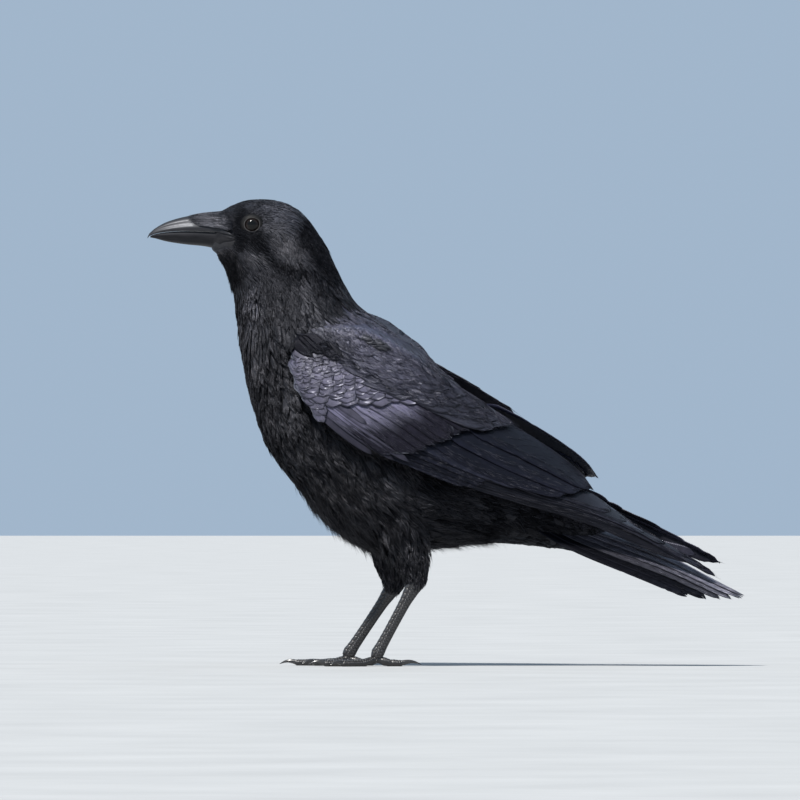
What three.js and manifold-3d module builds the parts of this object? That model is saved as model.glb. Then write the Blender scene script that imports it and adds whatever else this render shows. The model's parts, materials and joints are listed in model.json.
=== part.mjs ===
// A life-size standing crow (all-black Corvus), as a still museum model.
// Millimetres, +Z up. The bird faces -X, its left side is -Y, and its soles stand on Z = 0.
// The body is one smooth loft, parted into head, neck, trunk and rump; the folded wings and the
// tail are stacks of overlapping feather plates; the legs end in four toes and four claws each.
import * as THREE from "three";
import { mergeVertices } from "three/addons/utils/BufferGeometryUtils.js";
import Module from "manifold-3d";

const wasm = await Module();
wasm.setup();

// ---------------------------------------------------------------- driving dimensions
const GAP = 0.35; // clearance between pieces that meet
const BODY_SIDES = 20; // points round a body section
const RINGS_PER_STATION = 2;

// Body sections from the bill's base to the tip of the undertail coverts: the upper and lower
// point of each section in the side view [x, z], its half width, and how high it is widest.
const BODY = [
  { top: [-115, 291.2], low: [-122, 266], half: 9.5, widest: 0.5 },
  { top: [-102, 297.2], low: [-116, 261], half: 15.5, widest: 0.47 },
  { top: [-92.5, 298.9], low: [-111.5, 254.7], half: 18.5, widest: 0.47 },
  { top: [-82, 298.8], low: [-109, 247.7], half: 20.5, widest: 0.47 },
  { top: [-70, 295.6], low: [-107.2, 240.7], half: 21.5, widest: 0.47 },
  { top: [-60, 288], low: [-106.2, 234.3], half: 22, widest: 0.5 },
  { top: [-52.5, 277.8], low: [-105.3, 226.6], half: 23, widest: 0.5 },
  { top: [-45.4, 266.3], low: [-104.3, 218.3], half: 25, widest: 0.5 },
  { top: [-39, 252.6], low: [-103.2, 209.3], half: 28.5, widest: 0.5 },
  { top: [-33, 240.7], low: [-102.1, 200.3], half: 32.5, widest: 0.5 },
  { top: [-26, 230.6], low: [-100.3, 189.5], half: 37, widest: 0.5 },
  { top: [-14.5, 222], low: [-96.6, 173.5], half: 41.5, widest: 0.54 },
  { top: [0, 211], low: [-90.2, 153], half: 45.5, widest: 0.54 },
  { top: [19.2, 195.8], low: [-79.4, 131.2], half: 48, widest: 0.54 },
  { top: [38.4, 179.6], low: [-64, 112], half: 48, widest: 0.54 },
  { top: [53, 162.5], low: [-42.5, 87.8], half: 44.5, widest: 0.52 },
  { top: [69, 145], low: [-15.5, 74], half: 38.5, widest: 0.5 },
  { top: [84.5, 130.5], low: [16, 76.5], half: 31.5, widest: 0.5 },
  { top: [100, 117.5], low: [44.8, 80], half: 25.5, widest: 0.5 },
  { top: [114, 105.5], low: [76.8, 78.7], half: 19.5, widest: 0.5 },
  { top: [126, 95], low: [107, 74.6], half: 13, widest: 0.5 },
  { top: [134, 84], low: [127, 71.5], half: 6, widest: 0.5 },
];
const HEAD_END = 6.2; // where the body is parted, counted in sections
const NECK_END = 10.4;
const TRUNK_END = 17.2;
const BODY_END = BODY.length - 1;

// Bill: heights of the culmen, the mouth line and the gonys, and half widths, at six places
// from the base to the tip.
const BILL = {
  x: [-117, -126, -138, -149, -156.5, -160.5],
  culmen: [290.9, 289.6, 287.4, 284.2, 280.2, 276.8],
  mouth: [277.4, 278.1, 278.4, 277.8, 276.6, 275.1],
  gonys: [265.2, 267.6, 270, 271.7, 273.6, 274.3],
  half: [9.6, 8.3, 6.5, 4.5, 2.6, 1.1],
  hook: [-161.7, 273.6], // tip of the upper mandible, which passes the lower one
  lowerShorter: 0.965, // the lower mandible stops just behind the hook
};

const EYE = { x: -94.9, z: 282.8, radius: 7, sunk: 5.2 };

// The folded wing. "a" runs from the wrist to the wing tip, "b" runs square to it and upwards.
const WING = {
  wrist: [-66.6, 198.4],
  slope: 26.95, // degrees below the horizontal
  rightLift: 4.5, // the right wing is carried this much higher,
  rightPitch: 1, // and pitched up by this many degrees
};
// The wing's surface along a: lower and upper edge, and how far it stands out sideways there.
const WING_FORM = {
  a: [-3, 12, 30, 60, 90, 120, 150, 180, 208, 240, 270, 303],
  low: [2, -16, -27.5, -35, -31, -29, -23.5, -17.5, -10, -4, -4.5, -4],
  high: [12, 24, 31.5, 31, 29, 26.5, 24.2, 20.5, 12, 3.5, 2.5, -2],
  bulge: [38, 44.5, 49, 52.5, 53, 50, 44.5, 37.5, 30.5, 23.5, 18, 12],
  crest: [36, 34, 31, 27, 20, 10, 4.5, 2.5, 3.5, 9, 10, 9],
};
const ROOF_CURVE = 2.1; // how late across the wing its surface turns inwards
const COVERTS = {
  out: 2.6, // outer face, measured from the wing's surface,
  rear: 1.9, // at the shoulder and at the tips of the coverts
  in: -2.8, // inner face
  ends: [88, 97, 106, 117, 129], // the tips along a, from low to high
  slot: 13, // how deep their slot under the coverts is,
  slotTop: 0.85, // where its roof is,
  slotPlay: 1.5, // and how far its sides and floor stay away from them
};
const FEATHER = 0.9; // thickness of a flight feather
const SHINGLE = 0.7; // how far it dips from its bare edge to its covered edge

// Flight feathers from low to high. Each one's bare edge runs from "start" to "tip", in [a, b],
// and curves out by "bow" in between. "crown" is the upper edge of the topmost, along "stops".
const SECONDARIES = {
  level: 0,
  feathers: [
    { start: [76, -30.5], tip: [141, -24], bow: 0 },
    { start: [76, -27], tip: [143, -19.5], bow: 0 },
    { start: [80, -22], tip: [145.5, -15], bow: 0 },
    { start: [86, -13], tip: [193.5, -2.5], bow: -7.5 },
    { start: [98, -4], tip: [201, 3.5], bow: -2.5 },
    { start: [111, 5], tip: [207.5, 8.5], bow: 1 },
  ],
  stops: [75, 90, 105, 120, 133, 140, 145.5, 160, 175, 186, 193.5, 199, 204, 207.5],
  crown: [24, 28, 27.5, 26.2, 25, 24.6, 24.4, 23, 21.2, 19.2, 17.4, 15.4, 12.6, 9.4],
  round: 16, // the last part of a feather, where its tip narrows
};
const PRIMARIES = {
  level: -2.5,
  feathers: [
    { start: [118, -22], tip: [262, -3], bow: -3.5 },
    { start: [118, -19.5], tip: [303, -3.5], bow: -1.5 },
    { start: [118, -15], tip: [294, -1.5], bow: 0 },
    { start: [118, -11], tip: [270, 0], bow: 0.5 },
    { start: [118, -7], tip: [237, 2.5], bow: 0.5 },
  ],
  stops: [120, 150, 180, 200, 214, 228, 237, 247, 262, 271, 284, 294, 303],
  crown: [6, 8, 10, 11, 10.4, 8.6, 6.4, 6, 4.6, 2.6, 1.8, 0, -3.2],
  round: 24,
};

// Tail: twelve feathers fanned on an arch, the middle pair on top.
const TAIL = {
  root: [80, 113.5],
  slope: 25,
  length: 155,
  pairs: 6,
  rootSpread: 16, // half width at the root
  tipSpread: 31,
  arch: 11.5, // the outer edges lie this much lower than the middle,
  roll: 4.2, // the left one lower still, and the right one less so,
  graded: 12, // and the outermost feathers are this much shorter
  round: 13, // the last part of a feather, where its tip narrows
  stops: [34, 70, 105, 124, 134, 141, 146, 150, 153, 155],
};

// Legs. The left foot stands back, the right foot forward.
const LEGS = {
  left: { side: -1, hip: [0, 100], thigh: [5, 77], heel: [10.9, 55], foot: [-15.5, 6], y: [22, 19, 21] },
  right: { side: 1, hip: [-12, 100], thigh: [-6.5, 76], heel: [-2.6, 53], foot: [-34, 6], y: [22, 19, 21] },
};
const TARSUS = { ankle: 5.4, shaft: 3.5, toeJoint: 4.3, flat: 0.78 };
const TOES = [
  { name: "middle", turn: 4, length: 33, claw: 10.5, radius: 2.45 },
  { name: "inner", turn: -24, length: 23, claw: 9, radius: 2.3 },
  { name: "outer", turn: 30, length: 25, claw: 8.5, radius: 2.3 },
  { name: "hind", turn: 184, length: 17, claw: 12.5, radius: 2.5 },
];

const FINISH = {
  plumage: { color: 0x101114, roughness: 0.42, metalness: 0 },
  flight: { color: 0x14141d, roughness: 0.35, metalness: 0 },
  bill: { color: 0x1b1a1c, roughness: 0.28, metalness: 0 },
  leg: { color: 0x18171a, roughness: 0.4, metalness: 0 },
  claw: { color: 0x131214, roughness: 0.25, metalness: 0 },
  eye: { color: 0x0a0706, roughness: 0.06, metalness: 0 },
};

// ---------------------------------------------------------------- small helpers
const radians = THREE.MathUtils.degToRad;
const mix = THREE.MathUtils.lerp;
const clamp = THREE.MathUtils.clamp;

// Catmull-Rom through evenly counted values, at the real place u.
function through(values, u) {
  const last = values.length - 1;
  const i = clamp(Math.floor(u), 0, last - 1);
  const f = u - i;
  const p1 = values[i];
  const p2 = values[i + 1];
  const p0 = i > 0 ? values[i - 1] : 2 * p1 - p2;
  const p3 = i + 2 <= last ? values[i + 2] : 2 * p2 - p1;
  const slope1 = (p2 - p0) / 2;
  const slope2 = (p3 - p1) / 2;
  const f2 = f * f;
  const f3 = f2 * f;
  return (2 * f3 - 3 * f2 + 1) * p1 + (f3 - 2 * f2 + f) * slope1 + (3 * f2 - 2 * f3) * p2 + (f3 - f2) * slope2;
}

// Where x lies among knots, as a real index.
function placeIn(knots, x) {
  const up = knots[knots.length - 1] > knots[0] ? 1 : -1;
  let i = 0;
  while (i < knots.length - 2 && (x - knots[i + 1]) * up > 0) i += 1;
  return i + (x - knots[i]) / (knots[i + 1] - knots[i]);
}

// One closed body of flat faces, facing out. Points that coincide are welded, and faces that
// vanish by it are dropped.
function closed(points, faces) {
  const index = new Map();
  const kept = [];
  const weld = points.map((p) => {
    const key = p.toArray().map((v) => Math.round(v * 2000)).join();
    if (!index.has(key)) {
      index.set(key, kept.length);
      kept.push(p);
    }
    return index.get(key);
  });
  const welded = faces.map((face) => face.map((i) => weld[i]));
  const real = welded.filter(([a, b, c]) => a !== b && b !== c && c !== a);
  let volume = 0;
  for (const [a, b, c] of real) volume += kept[a].dot(kept[b].clone().cross(kept[c]));
  const geometry = new THREE.BufferGeometry();
  geometry.setAttribute("position", new THREE.Float32BufferAttribute(kept.flatMap((p) => p.toArray()), 3));
  geometry.setIndex(real.flatMap(([a, b, c]) => (volume < 0 ? [a, c, b] : [a, b, c])));
  return geometry;
}

// A skin over rings of equal point count, with both ends capped round their middles.
function loft(rings) {
  const n = rings[0].length;
  const points = rings.flat();
  const faces = [];
  for (let r = 0; r + 1 < rings.length; r += 1)
    for (let i = 0; i < n; i += 1) {
      const j = (i + 1) % n;
      const [a, b, c, d] = [r * n + i, r * n + j, (r + 1) * n + j, (r + 1) * n + i];
      faces.push([a, b, c], [a, c, d]);
    }
  for (const end of [0, rings.length - 1]) {
    const middle = points.length;
    const centre = new THREE.Vector3();
    rings[end].forEach((p) => centre.addScaledVector(p, 1 / n));
    points.push(centre);
    for (let i = 0; i < n; i += 1) {
      const [a, b] = [end * n + i, end * n + ((i + 1) % n)];
      faces.push(end === 0 ? [b, a, middle] : [a, b, middle]);
    }
  }
  return closed(points, faces);
}

// A thin body from rows of [upper point, under point] pairs.
function band(rows) {
  const columns = rows[0].length;
  const at = (row, column, side) => (row * columns + column) * 2 + side;
  const faces = [];
  const quad = (a, b, c, d) => faces.push([a, b, c], [a, c, d]);
  const [lastRow, lastColumn] = [rows.length - 1, columns - 1];
  for (let r = 0; r < lastRow; r += 1)
    for (let c = 0; c < lastColumn; c += 1) {
      quad(at(r, c, 0), at(r, c + 1, 0), at(r + 1, c + 1, 0), at(r + 1, c, 0));
      quad(at(r, c, 1), at(r + 1, c, 1), at(r + 1, c + 1, 1), at(r, c + 1, 1));
    }
  for (let c = 0; c < lastColumn; c += 1) {
    quad(at(0, c, 0), at(0, c, 1), at(0, c + 1, 1), at(0, c + 1, 0));
    quad(at(lastRow, c, 0), at(lastRow, c + 1, 0), at(lastRow, c + 1, 1), at(lastRow, c, 1));
  }
  for (let r = 0; r < lastRow; r += 1) {
    quad(at(r, 0, 0), at(r + 1, 0, 0), at(r + 1, 0, 1), at(r, 0, 1));
    quad(at(r, lastColumn, 0), at(r, lastColumn, 1), at(r + 1, lastColumn, 1), at(r + 1, lastColumn, 0));
  }
  return closed(rows.flat(2), faces);
}

function toSolid(geometry) {
  const bare = geometry.clone();
  for (const name of Object.keys(bare.attributes)) if (name !== "position") bare.deleteAttribute(name);
  const merged = mergeVertices(bare, 1e-4);
  return new wasm.Manifold(
    new wasm.Mesh({
      numProp: 3,
      vertProperties: merged.attributes.position.array,
      triVerts: new Uint32Array(merged.index.array),
    }),
  );
}

function fromSolid(solid) {
  const mesh = solid.getMesh();
  const positions = new Float32Array(mesh.numVert * 3);
  for (let i = 0; i < mesh.numVert; i += 1)
    for (let k = 0; k < 3; k += 1) positions[3 * i + k] = mesh.vertProperties[mesh.numProp * i + k];
  const geometry = new THREE.BufferGeometry();
  geometry.setAttribute("position", new THREE.BufferAttribute(positions, 3));
  geometry.setIndex(new THREE.BufferAttribute(mesh.triVerts, 1));
  return geometry;
}

// The largest piece of a cut solid.
function mainBody(solid) {
  return solid.decompose().reduce((best, piece) => (piece.volume() > best.volume() ? piece : best));
}

const crow = new THREE.Group();

function add(name, shape, finish) {
  const geometry = shape.isBufferGeometry ? shape : fromSolid(shape);
  geometry.computeVertexNormals();
  const mesh = new THREE.Mesh(geometry, new THREE.MeshStandardMaterial(FINISH[finish]));
  mesh.name = name;
  crow.add(mesh);
}

// ---------------------------------------------------------------- body
function bodyRing(u, grow = 0) {
  const top = [0, 1].map((k) => through(BODY.map((s) => s.top[k]), u));
  const low = [0, 1].map((k) => through(BODY.map((s) => s.low[k]), u));
  const half = through(BODY.map((s) => s.half), u) + grow;
  const widest = through(BODY.map((s) => s.widest), u);
  const height = Math.hypot(top[0] - low[0], top[1] - low[1]);
  const ring = [];
  for (let i = 0; i < BODY_SIDES; i += 1) {
    const turn = (2 * Math.PI * i) / BODY_SIDES;
    const rise = Math.cos(turn);
    const share = widest + (rise > 0 ? 1 - widest : widest) * rise + (grow / height) * rise;
    ring.push(new THREE.Vector3(mix(low[0], top[0], share), half * Math.sin(turn), mix(low[1], top[1], share)));
  }
  return ring;
}

function bodyPart(from, to, grow = 0) {
  const steps = Math.max(2, Math.round((to - from) * RINGS_PER_STATION));
  const rings = [];
  for (let i = 0; i <= steps; i += 1) rings.push(bodyRing(mix(from, to, i / steps), grow));
  return loft(rings);
}

// Half width of the body at a point of the side view, near section u.
function bodyHalfAt(x, z) {
  let best = 0;
  for (let u = 0; u <= BODY_END; u += 0.05) {
    const top = [0, 1].map((k) => through(BODY.map((s) => s.top[k]), u));
    const low = [0, 1].map((k) => through(BODY.map((s) => s.low[k]), u));
    const along = [top[0] - low[0], top[1] - low[1]];
    const length2 = along[0] ** 2 + along[1] ** 2;
    const share = ((x - low[0]) * along[0] + (z - low[1]) * along[1]) / length2;
    const off = Math.hypot(x - mix(low[0], top[0], share), z - mix(low[1], top[1], share));
    const widest = through(BODY.map((s) => s.widest), u);
    const rise = (share - widest) / (share > widest ? 1 - widest : widest);
    if (off < 1 && Math.abs(rise) < 1)
      best = Math.max(best, through(BODY.map((s) => s.half), u) * Math.sqrt(1 - rise * rise));
  }
  return best;
}

// ---------------------------------------------------------------- bill
function billRing(place, upper) {
  const x = through(BILL.x, place);
  const mouth = through(BILL.mouth, place) + (upper ? GAP / 2 : -GAP / 2);
  const edge = through(upper ? BILL.culmen : BILL.gonys, place);
  const half = through(BILL.half, place) * (upper ? 1 : 0.93);
  const ring = [];
  const arch = 8;
  for (let i = 0; i <= arch; i += 1) {
    const turn = Math.PI * (i / arch - 0.5);
    const lift = Math.cos(turn) ** (upper ? 0.85 : 0.7);
    ring.push(new THREE.Vector3(x, half * Math.sin(turn), mouth + (edge - mouth) * lift));
  }
  ring.push(new THREE.Vector3(x, 0.35 * half, mouth), new THREE.Vector3(x, -0.35 * half, mouth));
  return ring;
}

function mandible(upper) {
  const last = (BILL.x.length - 1) * (upper ? 1 : BILL.lowerShorter);
  const rings = [];
  const steps = 8;
  for (let i = 0; i <= steps; i += 1) rings.push(billRing((last * i) / steps, upper));
  // The base is slanted to meet the face.
  const faceLean = (BODY[0].top[0] - BODY[0].low[0]) / (BODY[0].top[1] - BODY[0].low[1]);
  rings[0].forEach((p) => {
    p.x = BODY[0].low[0] + faceLean * (p.z - BODY[0].low[1]) - GAP;
  });
  if (upper) {
    const tip = rings[rings.length - 1].map((p) => {
      const q = p.clone().multiplyScalar(0.35);
      return q.add(new THREE.Vector3(BILL.hook[0], 0, BILL.hook[1] + 0.5).addScaledVector(
        new THREE.Vector3(through(BILL.x, last), 0, through(BILL.mouth, last)), -0.35));
    });
    rings.push(tip);
  }
  return loft(rings);
}

// ---------------------------------------------------------------- wings
const wingValue = (name, a) => through(WING_FORM[name], placeIn(WING_FORM.a, a));

// A point of the wing, "lift" above its surface.
function wingPoint(side, a, b, lift) {
  const low = wingValue("low", a);
  const high = wingValue("high", a);
  const across = clamp((b - low) / (high - low), 0, 1.15);
  const bulge = wingValue("bulge", a);
  const crest = wingValue("crest", a);
  const y = bulge + (crest - bulge) * across ** ROOF_CURVE;
  const steep = ((bulge - crest) / (high - low)) * ROOF_CURVE * across ** (ROOF_CURVE - 1);
  const lean = Math.hypot(1, steep); // of the surface's normal, in the section across the wing
  const right = side > 0 ? 1 : 0;
  const pitch = radians(WING.slope - WING.rightPitch * right);
  const up = b + (lift * steep) / lean + WING.rightLift * right;
  return new THREE.Vector3(
    WING.wrist[0] + a * Math.cos(pitch) + up * Math.sin(pitch),
    side * (y + lift / lean),
    WING.wrist[1] - a * Math.sin(pitch) + up * Math.cos(pitch),
  );
}

// A shell between two levels, over strips across the wing that each run from "start" to "end".
// It reaches past the wing's edges by "margin".
function wingShell(side, start, end, outer, inner, columns, strips, margin = 0) {
  const rows = [];
  for (let i = 0; i <= columns; i += 1) {
    const row = [];
    for (let j = 0; j <= strips; j += 1) {
      const across = j / strips;
      const a = mix(start(across), end(across), i / columns);
      const b = mix(wingValue("low", a) - margin, wingValue("high", a) + margin, across);
      row.push([wingPoint(side, a, b, outer(a, across)), wingPoint(side, a, b, inner(a, across))]);
    }
    rows.push(row);
  }
  return toSolid(band(rows));
}

const wristRound = (across) => 12 - 15 * Math.sqrt(Math.max(0, 1 - (1.7 * across - 1) ** 2));
const covertTips = (across) => through(COVERTS.ends, across * (COVERTS.ends.length - 1));
const wingEnd = () => WING_FORM.a[WING_FORM.a.length - 1];

function coverts(side) {
  const outer = (a, across) => {
    const end = covertTips(across);
    const rear = clamp((2 * a) / end - 1, 0, 1);
    const rim = Math.min(1, 6 * across + 0.35, 6 * (1 - across) + 0.35, (a + 6) / 14);
    return mix(COVERTS.out, COVERTS.rear, rear) * rim;
  };
  const shell = wingShell(side, wristRound, covertTips, outer, () => COVERTS.in, 10, 8);
  const slotStart = (across) => covertTips(across) - COVERTS.slot;
  const [roof, floor] = [() => COVERTS.slotTop, () => 2 * COVERTS.in];
  const slot = wingShell(side, slotStart, wingEnd, roof, floor, 12, 8, COVERTS.slotPlay);
  return mainBody(shell.subtract(slot));
}

// The room that the whole wing takes, cut out of what it lies on.
function wingBed(side) {
  const bottom = () => PRIMARIES.level - SHINGLE - FEATHER - GAP;
  return wingShell(side, (across) => wristRound(across) - 3, wingEnd, () => 30, bottom, 12, 8, 1.5);
}

// A sheet of flight feathers, laid like shingles: each one's covered edge dips under the next.
function flightSheet(side, sheet) {
  const rows = sheet.stops.map((stop, row) => {
    let above = sheet.crown[row];
    const edges = [...sheet.feathers].reverse().map(({ start, tip, bow }) => {
      const along = (stop - start[0]) / (tip[0] - start[0]);
      const bare = mix(start[1], tip[1], along) + bow * Math.sin(Math.PI * clamp(along, 0, 1));
      const narrowing = clamp(1 - (tip[0] - stop) / sheet.round, 0, 1);
      const width = Math.max(0, above - bare) * Math.sqrt(1 - narrowing ** 2);
      above -= width;
      return { b: above, lift: -SHINGLE * (1 - Math.min(1, width)) };
    });
    const pairs = [];
    const put = (b, lift) => {
      const across = (b - wingValue("low", stop)) / (wingValue("high", stop) - wingValue("low", stop));
      const a = Math.max(stop, covertTips(clamp(across, 0, 1)) - COVERTS.slot + COVERTS.slotPlay);
      const level = sheet.level;
      pairs.push([wingPoint(side, a, b, level + lift), wingPoint(side, a, b, level - SHINGLE - FEATHER)]);
    };
    edges.reverse().forEach(({ b, lift }, i) => {
      if (i > 0) put(b, -SHINGLE);
      put(b, lift);
    });
    put(sheet.crown[row], -SHINGLE);
    return pairs;
  });
  return toSolid(band(rows));
}

// ---------------------------------------------------------------- tail
// A point of the arched tail: s along it, q across it from -1 to 1.
function tailPoint(s, q, lift) {
  const slope = radians(TAIL.slope);
  const open = s / TAIL.length;
  const drop = mix(0.45, 1, open) * (TAIL.arch * Math.abs(q) ** 1.6 - TAIL.roll * q);
  return new THREE.Vector3(
    TAIL.root[0] + s * Math.cos(slope) - (drop - lift) * Math.sin(slope),
    q * mix(TAIL.rootSpread, TAIL.tipSpread, open),
    TAIL.root[1] - s * Math.sin(slope) - (drop - lift) * Math.cos(slope),
  );
}

function tailFan() {
  const rows = TAIL.stops.map((stop) => {
    // The outer edge of each pair of feathers, from the middle pair outwards.
    let inside = 0;
    const edges = [];
    for (let pair = 0; pair < TAIL.pairs; pair += 1) {
      const outer = (pair + 1) / TAIL.pairs;
      const tip = TAIL.length - TAIL.graded * outer ** 1.8;
      const narrowing = clamp(1 - (tip - stop) / TAIL.round, 0, pair > 0 ? 1 : 0.95);
      const width = (outer - inside) * Math.sqrt(1 - narrowing ** 2);
      inside += width;
      edges.push({ q: inside, lift: -SHINGLE * (1 - Math.min(1, width * TAIL.tipSpread)) });
    }
    const pairs = [];
    const put = (q, lift) => pairs.push([tailPoint(stop, q, lift), tailPoint(stop, q, -SHINGLE - FEATHER)]);
    for (const side of [-1, 1]) {
      const half = side < 0 ? [...edges].reverse() : edges;
      half.forEach(({ q, lift }, i) => {
        const outermost = side < 0 ? i === 0 : i === half.length - 1;
        if (side > 0) put(q, lift);
        if (!outermost) put(side * q, -SHINGLE);
        if (side < 0) put(-q, lift);
      });
      if (side < 0) put(0, -0.3 * SHINGLE);
    }
    return pairs;
  });
  return toSolid(band(rows));
}

// The slot that the tail takes in the rump.
function tailBed() {
  const rows = [TAIL.stops[0] - 1, TAIL.length / 2, TAIL.length].map((s) =>
    [-1.3, -0.65, 0, 0.65, 1.3].map((q) => [tailPoint(s, q, 2.2), tailPoint(s, q, -3.4)]),
  );
  return toSolid(band(rows));
}

// ---------------------------------------------------------------- legs
// Rings along a straight or bent line; each stop is { at: Vector3, fore, side } with half sizes
// along the leg's own front-to-back and sideways directions.
function limb(stops, sides) {
  const rings = stops.map((stop, i) => {
    const before = stops[Math.max(0, i - 1)].at;
    const after = stops[Math.min(stops.length - 1, i + 1)].at;
    const along = after.clone().sub(before).normalize();
    const across = new THREE.Vector3(0, 1, 0);
    const fore = across.clone().cross(along).normalize();
    const ring = [];
    for (let k = 0; k < sides; k += 1) {
      const turn = (2 * Math.PI * k) / sides;
      ring.push(
        stop.at.clone()
          .addScaledVector(fore, stop.fore * Math.cos(turn))
          .addScaledVector(across, stop.side * Math.sin(turn)),
      );
    }
    return ring;
  });
  return loft(rings);
}

const legPoint = (leg, [x, z], y) => new THREE.Vector3(x, leg.side * y, z);

function thighShape(leg) {
  const hip = legPoint(leg, leg.hip, leg.y[0]);
  const middle = legPoint(leg, leg.thigh, leg.y[0] - 1);
  const heel = legPoint(leg, leg.heel, leg.y[1]);
  const low = middle.clone().lerp(heel, 0.52);
  return limb(
    [
      { at: hip, fore: 19, side: 12 },
      { at: hip.clone().lerp(middle, 0.6), fore: 16, side: 11 },
      { at: middle, fore: 13, side: 9.5 },
      { at: low, fore: 10.8, side: 7.8 },
      { at: middle.clone().lerp(heel, 0.8), fore: 8.4, side: 6.2 },
      { at: heel.clone().add(new THREE.Vector3(-0.6, 0, 1.5)), fore: 6.2, side: 4.9 },
    ],
    14,
  );
}

function tarsusShape(leg, grow) {
  const heel = legPoint(leg, leg.heel, leg.y[1]);
  const foot = legPoint(leg, leg.foot, leg.y[2]);
  const at = (share) => heel.clone().lerp(foot, share);
  const stop = (share, size) => ({ at: at(share), fore: size + grow, side: size * TARSUS.flat + grow });
  return limb(
    [
      stop(-0.09 - grow / 50, TARSUS.ankle * 0.7),
      stop(0.04, TARSUS.ankle),
      stop(0.16, TARSUS.ankle * 0.86),
      stop(0.3, TARSUS.shaft * 1.08),
      stop(0.6, TARSUS.shaft),
      stop(0.84, TARSUS.shaft * 1.03),
      stop(0.95, TARSUS.toeJoint * 0.93),
      stop(1.02, TARSUS.toeJoint * 0.6),
    ],
    10,
  );
}

// A toe lies on the floor: what would reach below it is flattened to Z = 0.
function toeRing(centre, forward, radius, sides = 8) {
  const across = new THREE.Vector3(-forward.y, forward.x, 0);
  const ring = [];
  for (let k = 0; k < sides; k += 1) {
    const turn = (2 * Math.PI * (k + 0.5)) / sides;
    const p = centre.clone().addScaledVector(across, radius * Math.cos(turn));
    p.z = Math.max(0, p.z + radius * Math.sin(turn));
    ring.push(p);
  }
  return ring;
}

function toeShapes(leg, toe) {
  const turn = radians(toe.turn) * leg.side;
  const forward = new THREE.Vector3(-Math.cos(turn), Math.sin(turn), 0);
  const joint = legPoint(leg, leg.foot, leg.y[2]);
  const at = (distance, height) => new THREE.Vector3(joint.x, joint.y, height).addScaledVector(forward, distance);
  const r = toe.radius;
  const resting = 0.86;
  const stops = [
    [0.8, 4.4, r * 0.95],
    [5, 3.2, r],
    [9, r * resting, r],
    [toe.length * 0.55, r * 0.9 * resting, r * 0.9],
    [toe.length * 0.8, r * 0.88 * resting, r * 0.88],
    [toe.length, r * 0.8 * resting, r * 0.8],
  ];
  const body = (extra) => toSolid(loft(stops.map(([d, h, size]) => toeRing(at(d, h), forward, size + extra))));
  // The claw: an arch that comes down to a fine point just above the floor.
  const claw = loft(
    [0, 0.3, 0.6, 0.85, 1].map((f) => {
      const height = r * 0.8 * resting + 1.5 * Math.sin(Math.PI * Math.min(1, f * 0.9)) - 1.25 * f * f;
      const size = r * 0.72 * (1 - f) ** 0.75 + 0.12;
      const centre = at(toe.length + GAP + toe.claw * f, Math.max(height, size + 0.1));
      return toeRing(centre, forward, size, 6);
    }),
  );
  return { body: body(0), grown: body(GAP), claw };
}

// ---------------------------------------------------------------- assembly
function buildHead() {
  let head = toSolid(bodyPart(0, HEAD_END - 0.02));
  const half = bodyHalfAt(EYE.x, EYE.z);
  for (const [name, side] of [["left_eye", -1], ["right_eye", 1]]) {
    const place = [EYE.x, side * (half - EYE.sunk), EYE.z];
    add(name, new THREE.SphereGeometry(EYE.radius, 12, 8).translate(...place), "eye");
    head = head.subtract(toSolid(new THREE.SphereGeometry(EYE.radius + GAP, 12, 8).translate(...place)));
  }
  add("head", head, "plumage");
  add("upper_bill", mandible(true), "bill");
  add("lower_bill", mandible(false), "bill");
}

function buildBody() {
  const beds = wingBed(-1).add(wingBed(1));
  const neck = toSolid(bodyPart(HEAD_END + 0.02, NECK_END - 0.02)).subtract(beds);
  add("neck", mainBody(neck), "plumage");
  add("trunk", mainBody(toSolid(bodyPart(NECK_END + 0.02, TRUNK_END - 0.02)).subtract(beds)), "plumage");
  const rump = toSolid(bodyPart(TRUNK_END + 0.02, BODY_END)).subtract(beds).subtract(tailBed());
  add("rump", mainBody(rump), "plumage");
  add("tail", tailFan(), "flight");
}

function buildWing(name, side) {
  add(`${name}_wing_coverts`, coverts(side), "plumage");
  add(`${name}_wing_secondaries`, flightSheet(side, SECONDARIES), "flight");
  add(`${name}_wing_primaries`, flightSheet(side, PRIMARIES), "flight");
}

function buildLeg(name, leg) {
  const trunkRoom = toSolid(bodyPart(NECK_END, TRUNK_END, GAP)).add(toSolid(bodyPart(TRUNK_END, BODY_END, GAP)));
  const heelRoom = toSolid(tarsusShape(leg, GAP));
  const tarsus = toSolid(tarsusShape(leg, 0));
  add(`${name}_thigh`, mainBody(toSolid(thighShape(leg)).subtract(trunkRoom).subtract(heelRoom)), "plumage");
  let taken = null;
  const toes = TOES.map((toe) => {
    const shapes = toeShapes(leg, toe);
    const body = taken ? mainBody(shapes.body.subtract(taken)) : shapes.body;
    taken = taken ? taken.add(shapes.grown) : shapes.grown;
    return { toe, body, claw: shapes.claw };
  });
  add(`${name}_tarsus`, mainBody(tarsus.subtract(taken)), "leg");
  for (const { toe, body, claw } of toes) {
    add(`${name}_toe_${toe.name}`, body, "leg");
    add(`${name}_claw_${toe.name}`, claw, "claw");
  }
}

buildHead();
buildBody();
for (const [name, leg] of Object.entries(LEGS)) {
  buildWing(name, leg.side);
  buildLeg(name, leg);
}

// The origin is on the floor, under the middle of the whole bird.
const box = new THREE.Box3().setFromObject(crow);
crow.position.set(-(box.min.x + box.max.x) / 2, -(box.min.y + box.max.y) / 2, -box.min.z);

export default crow;
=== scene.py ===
import json
import math

import bpy
import numpy as np
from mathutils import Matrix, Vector
from mathutils.bvhtree import BVHTree
from mathutils.kdtree import KDTree

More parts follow.
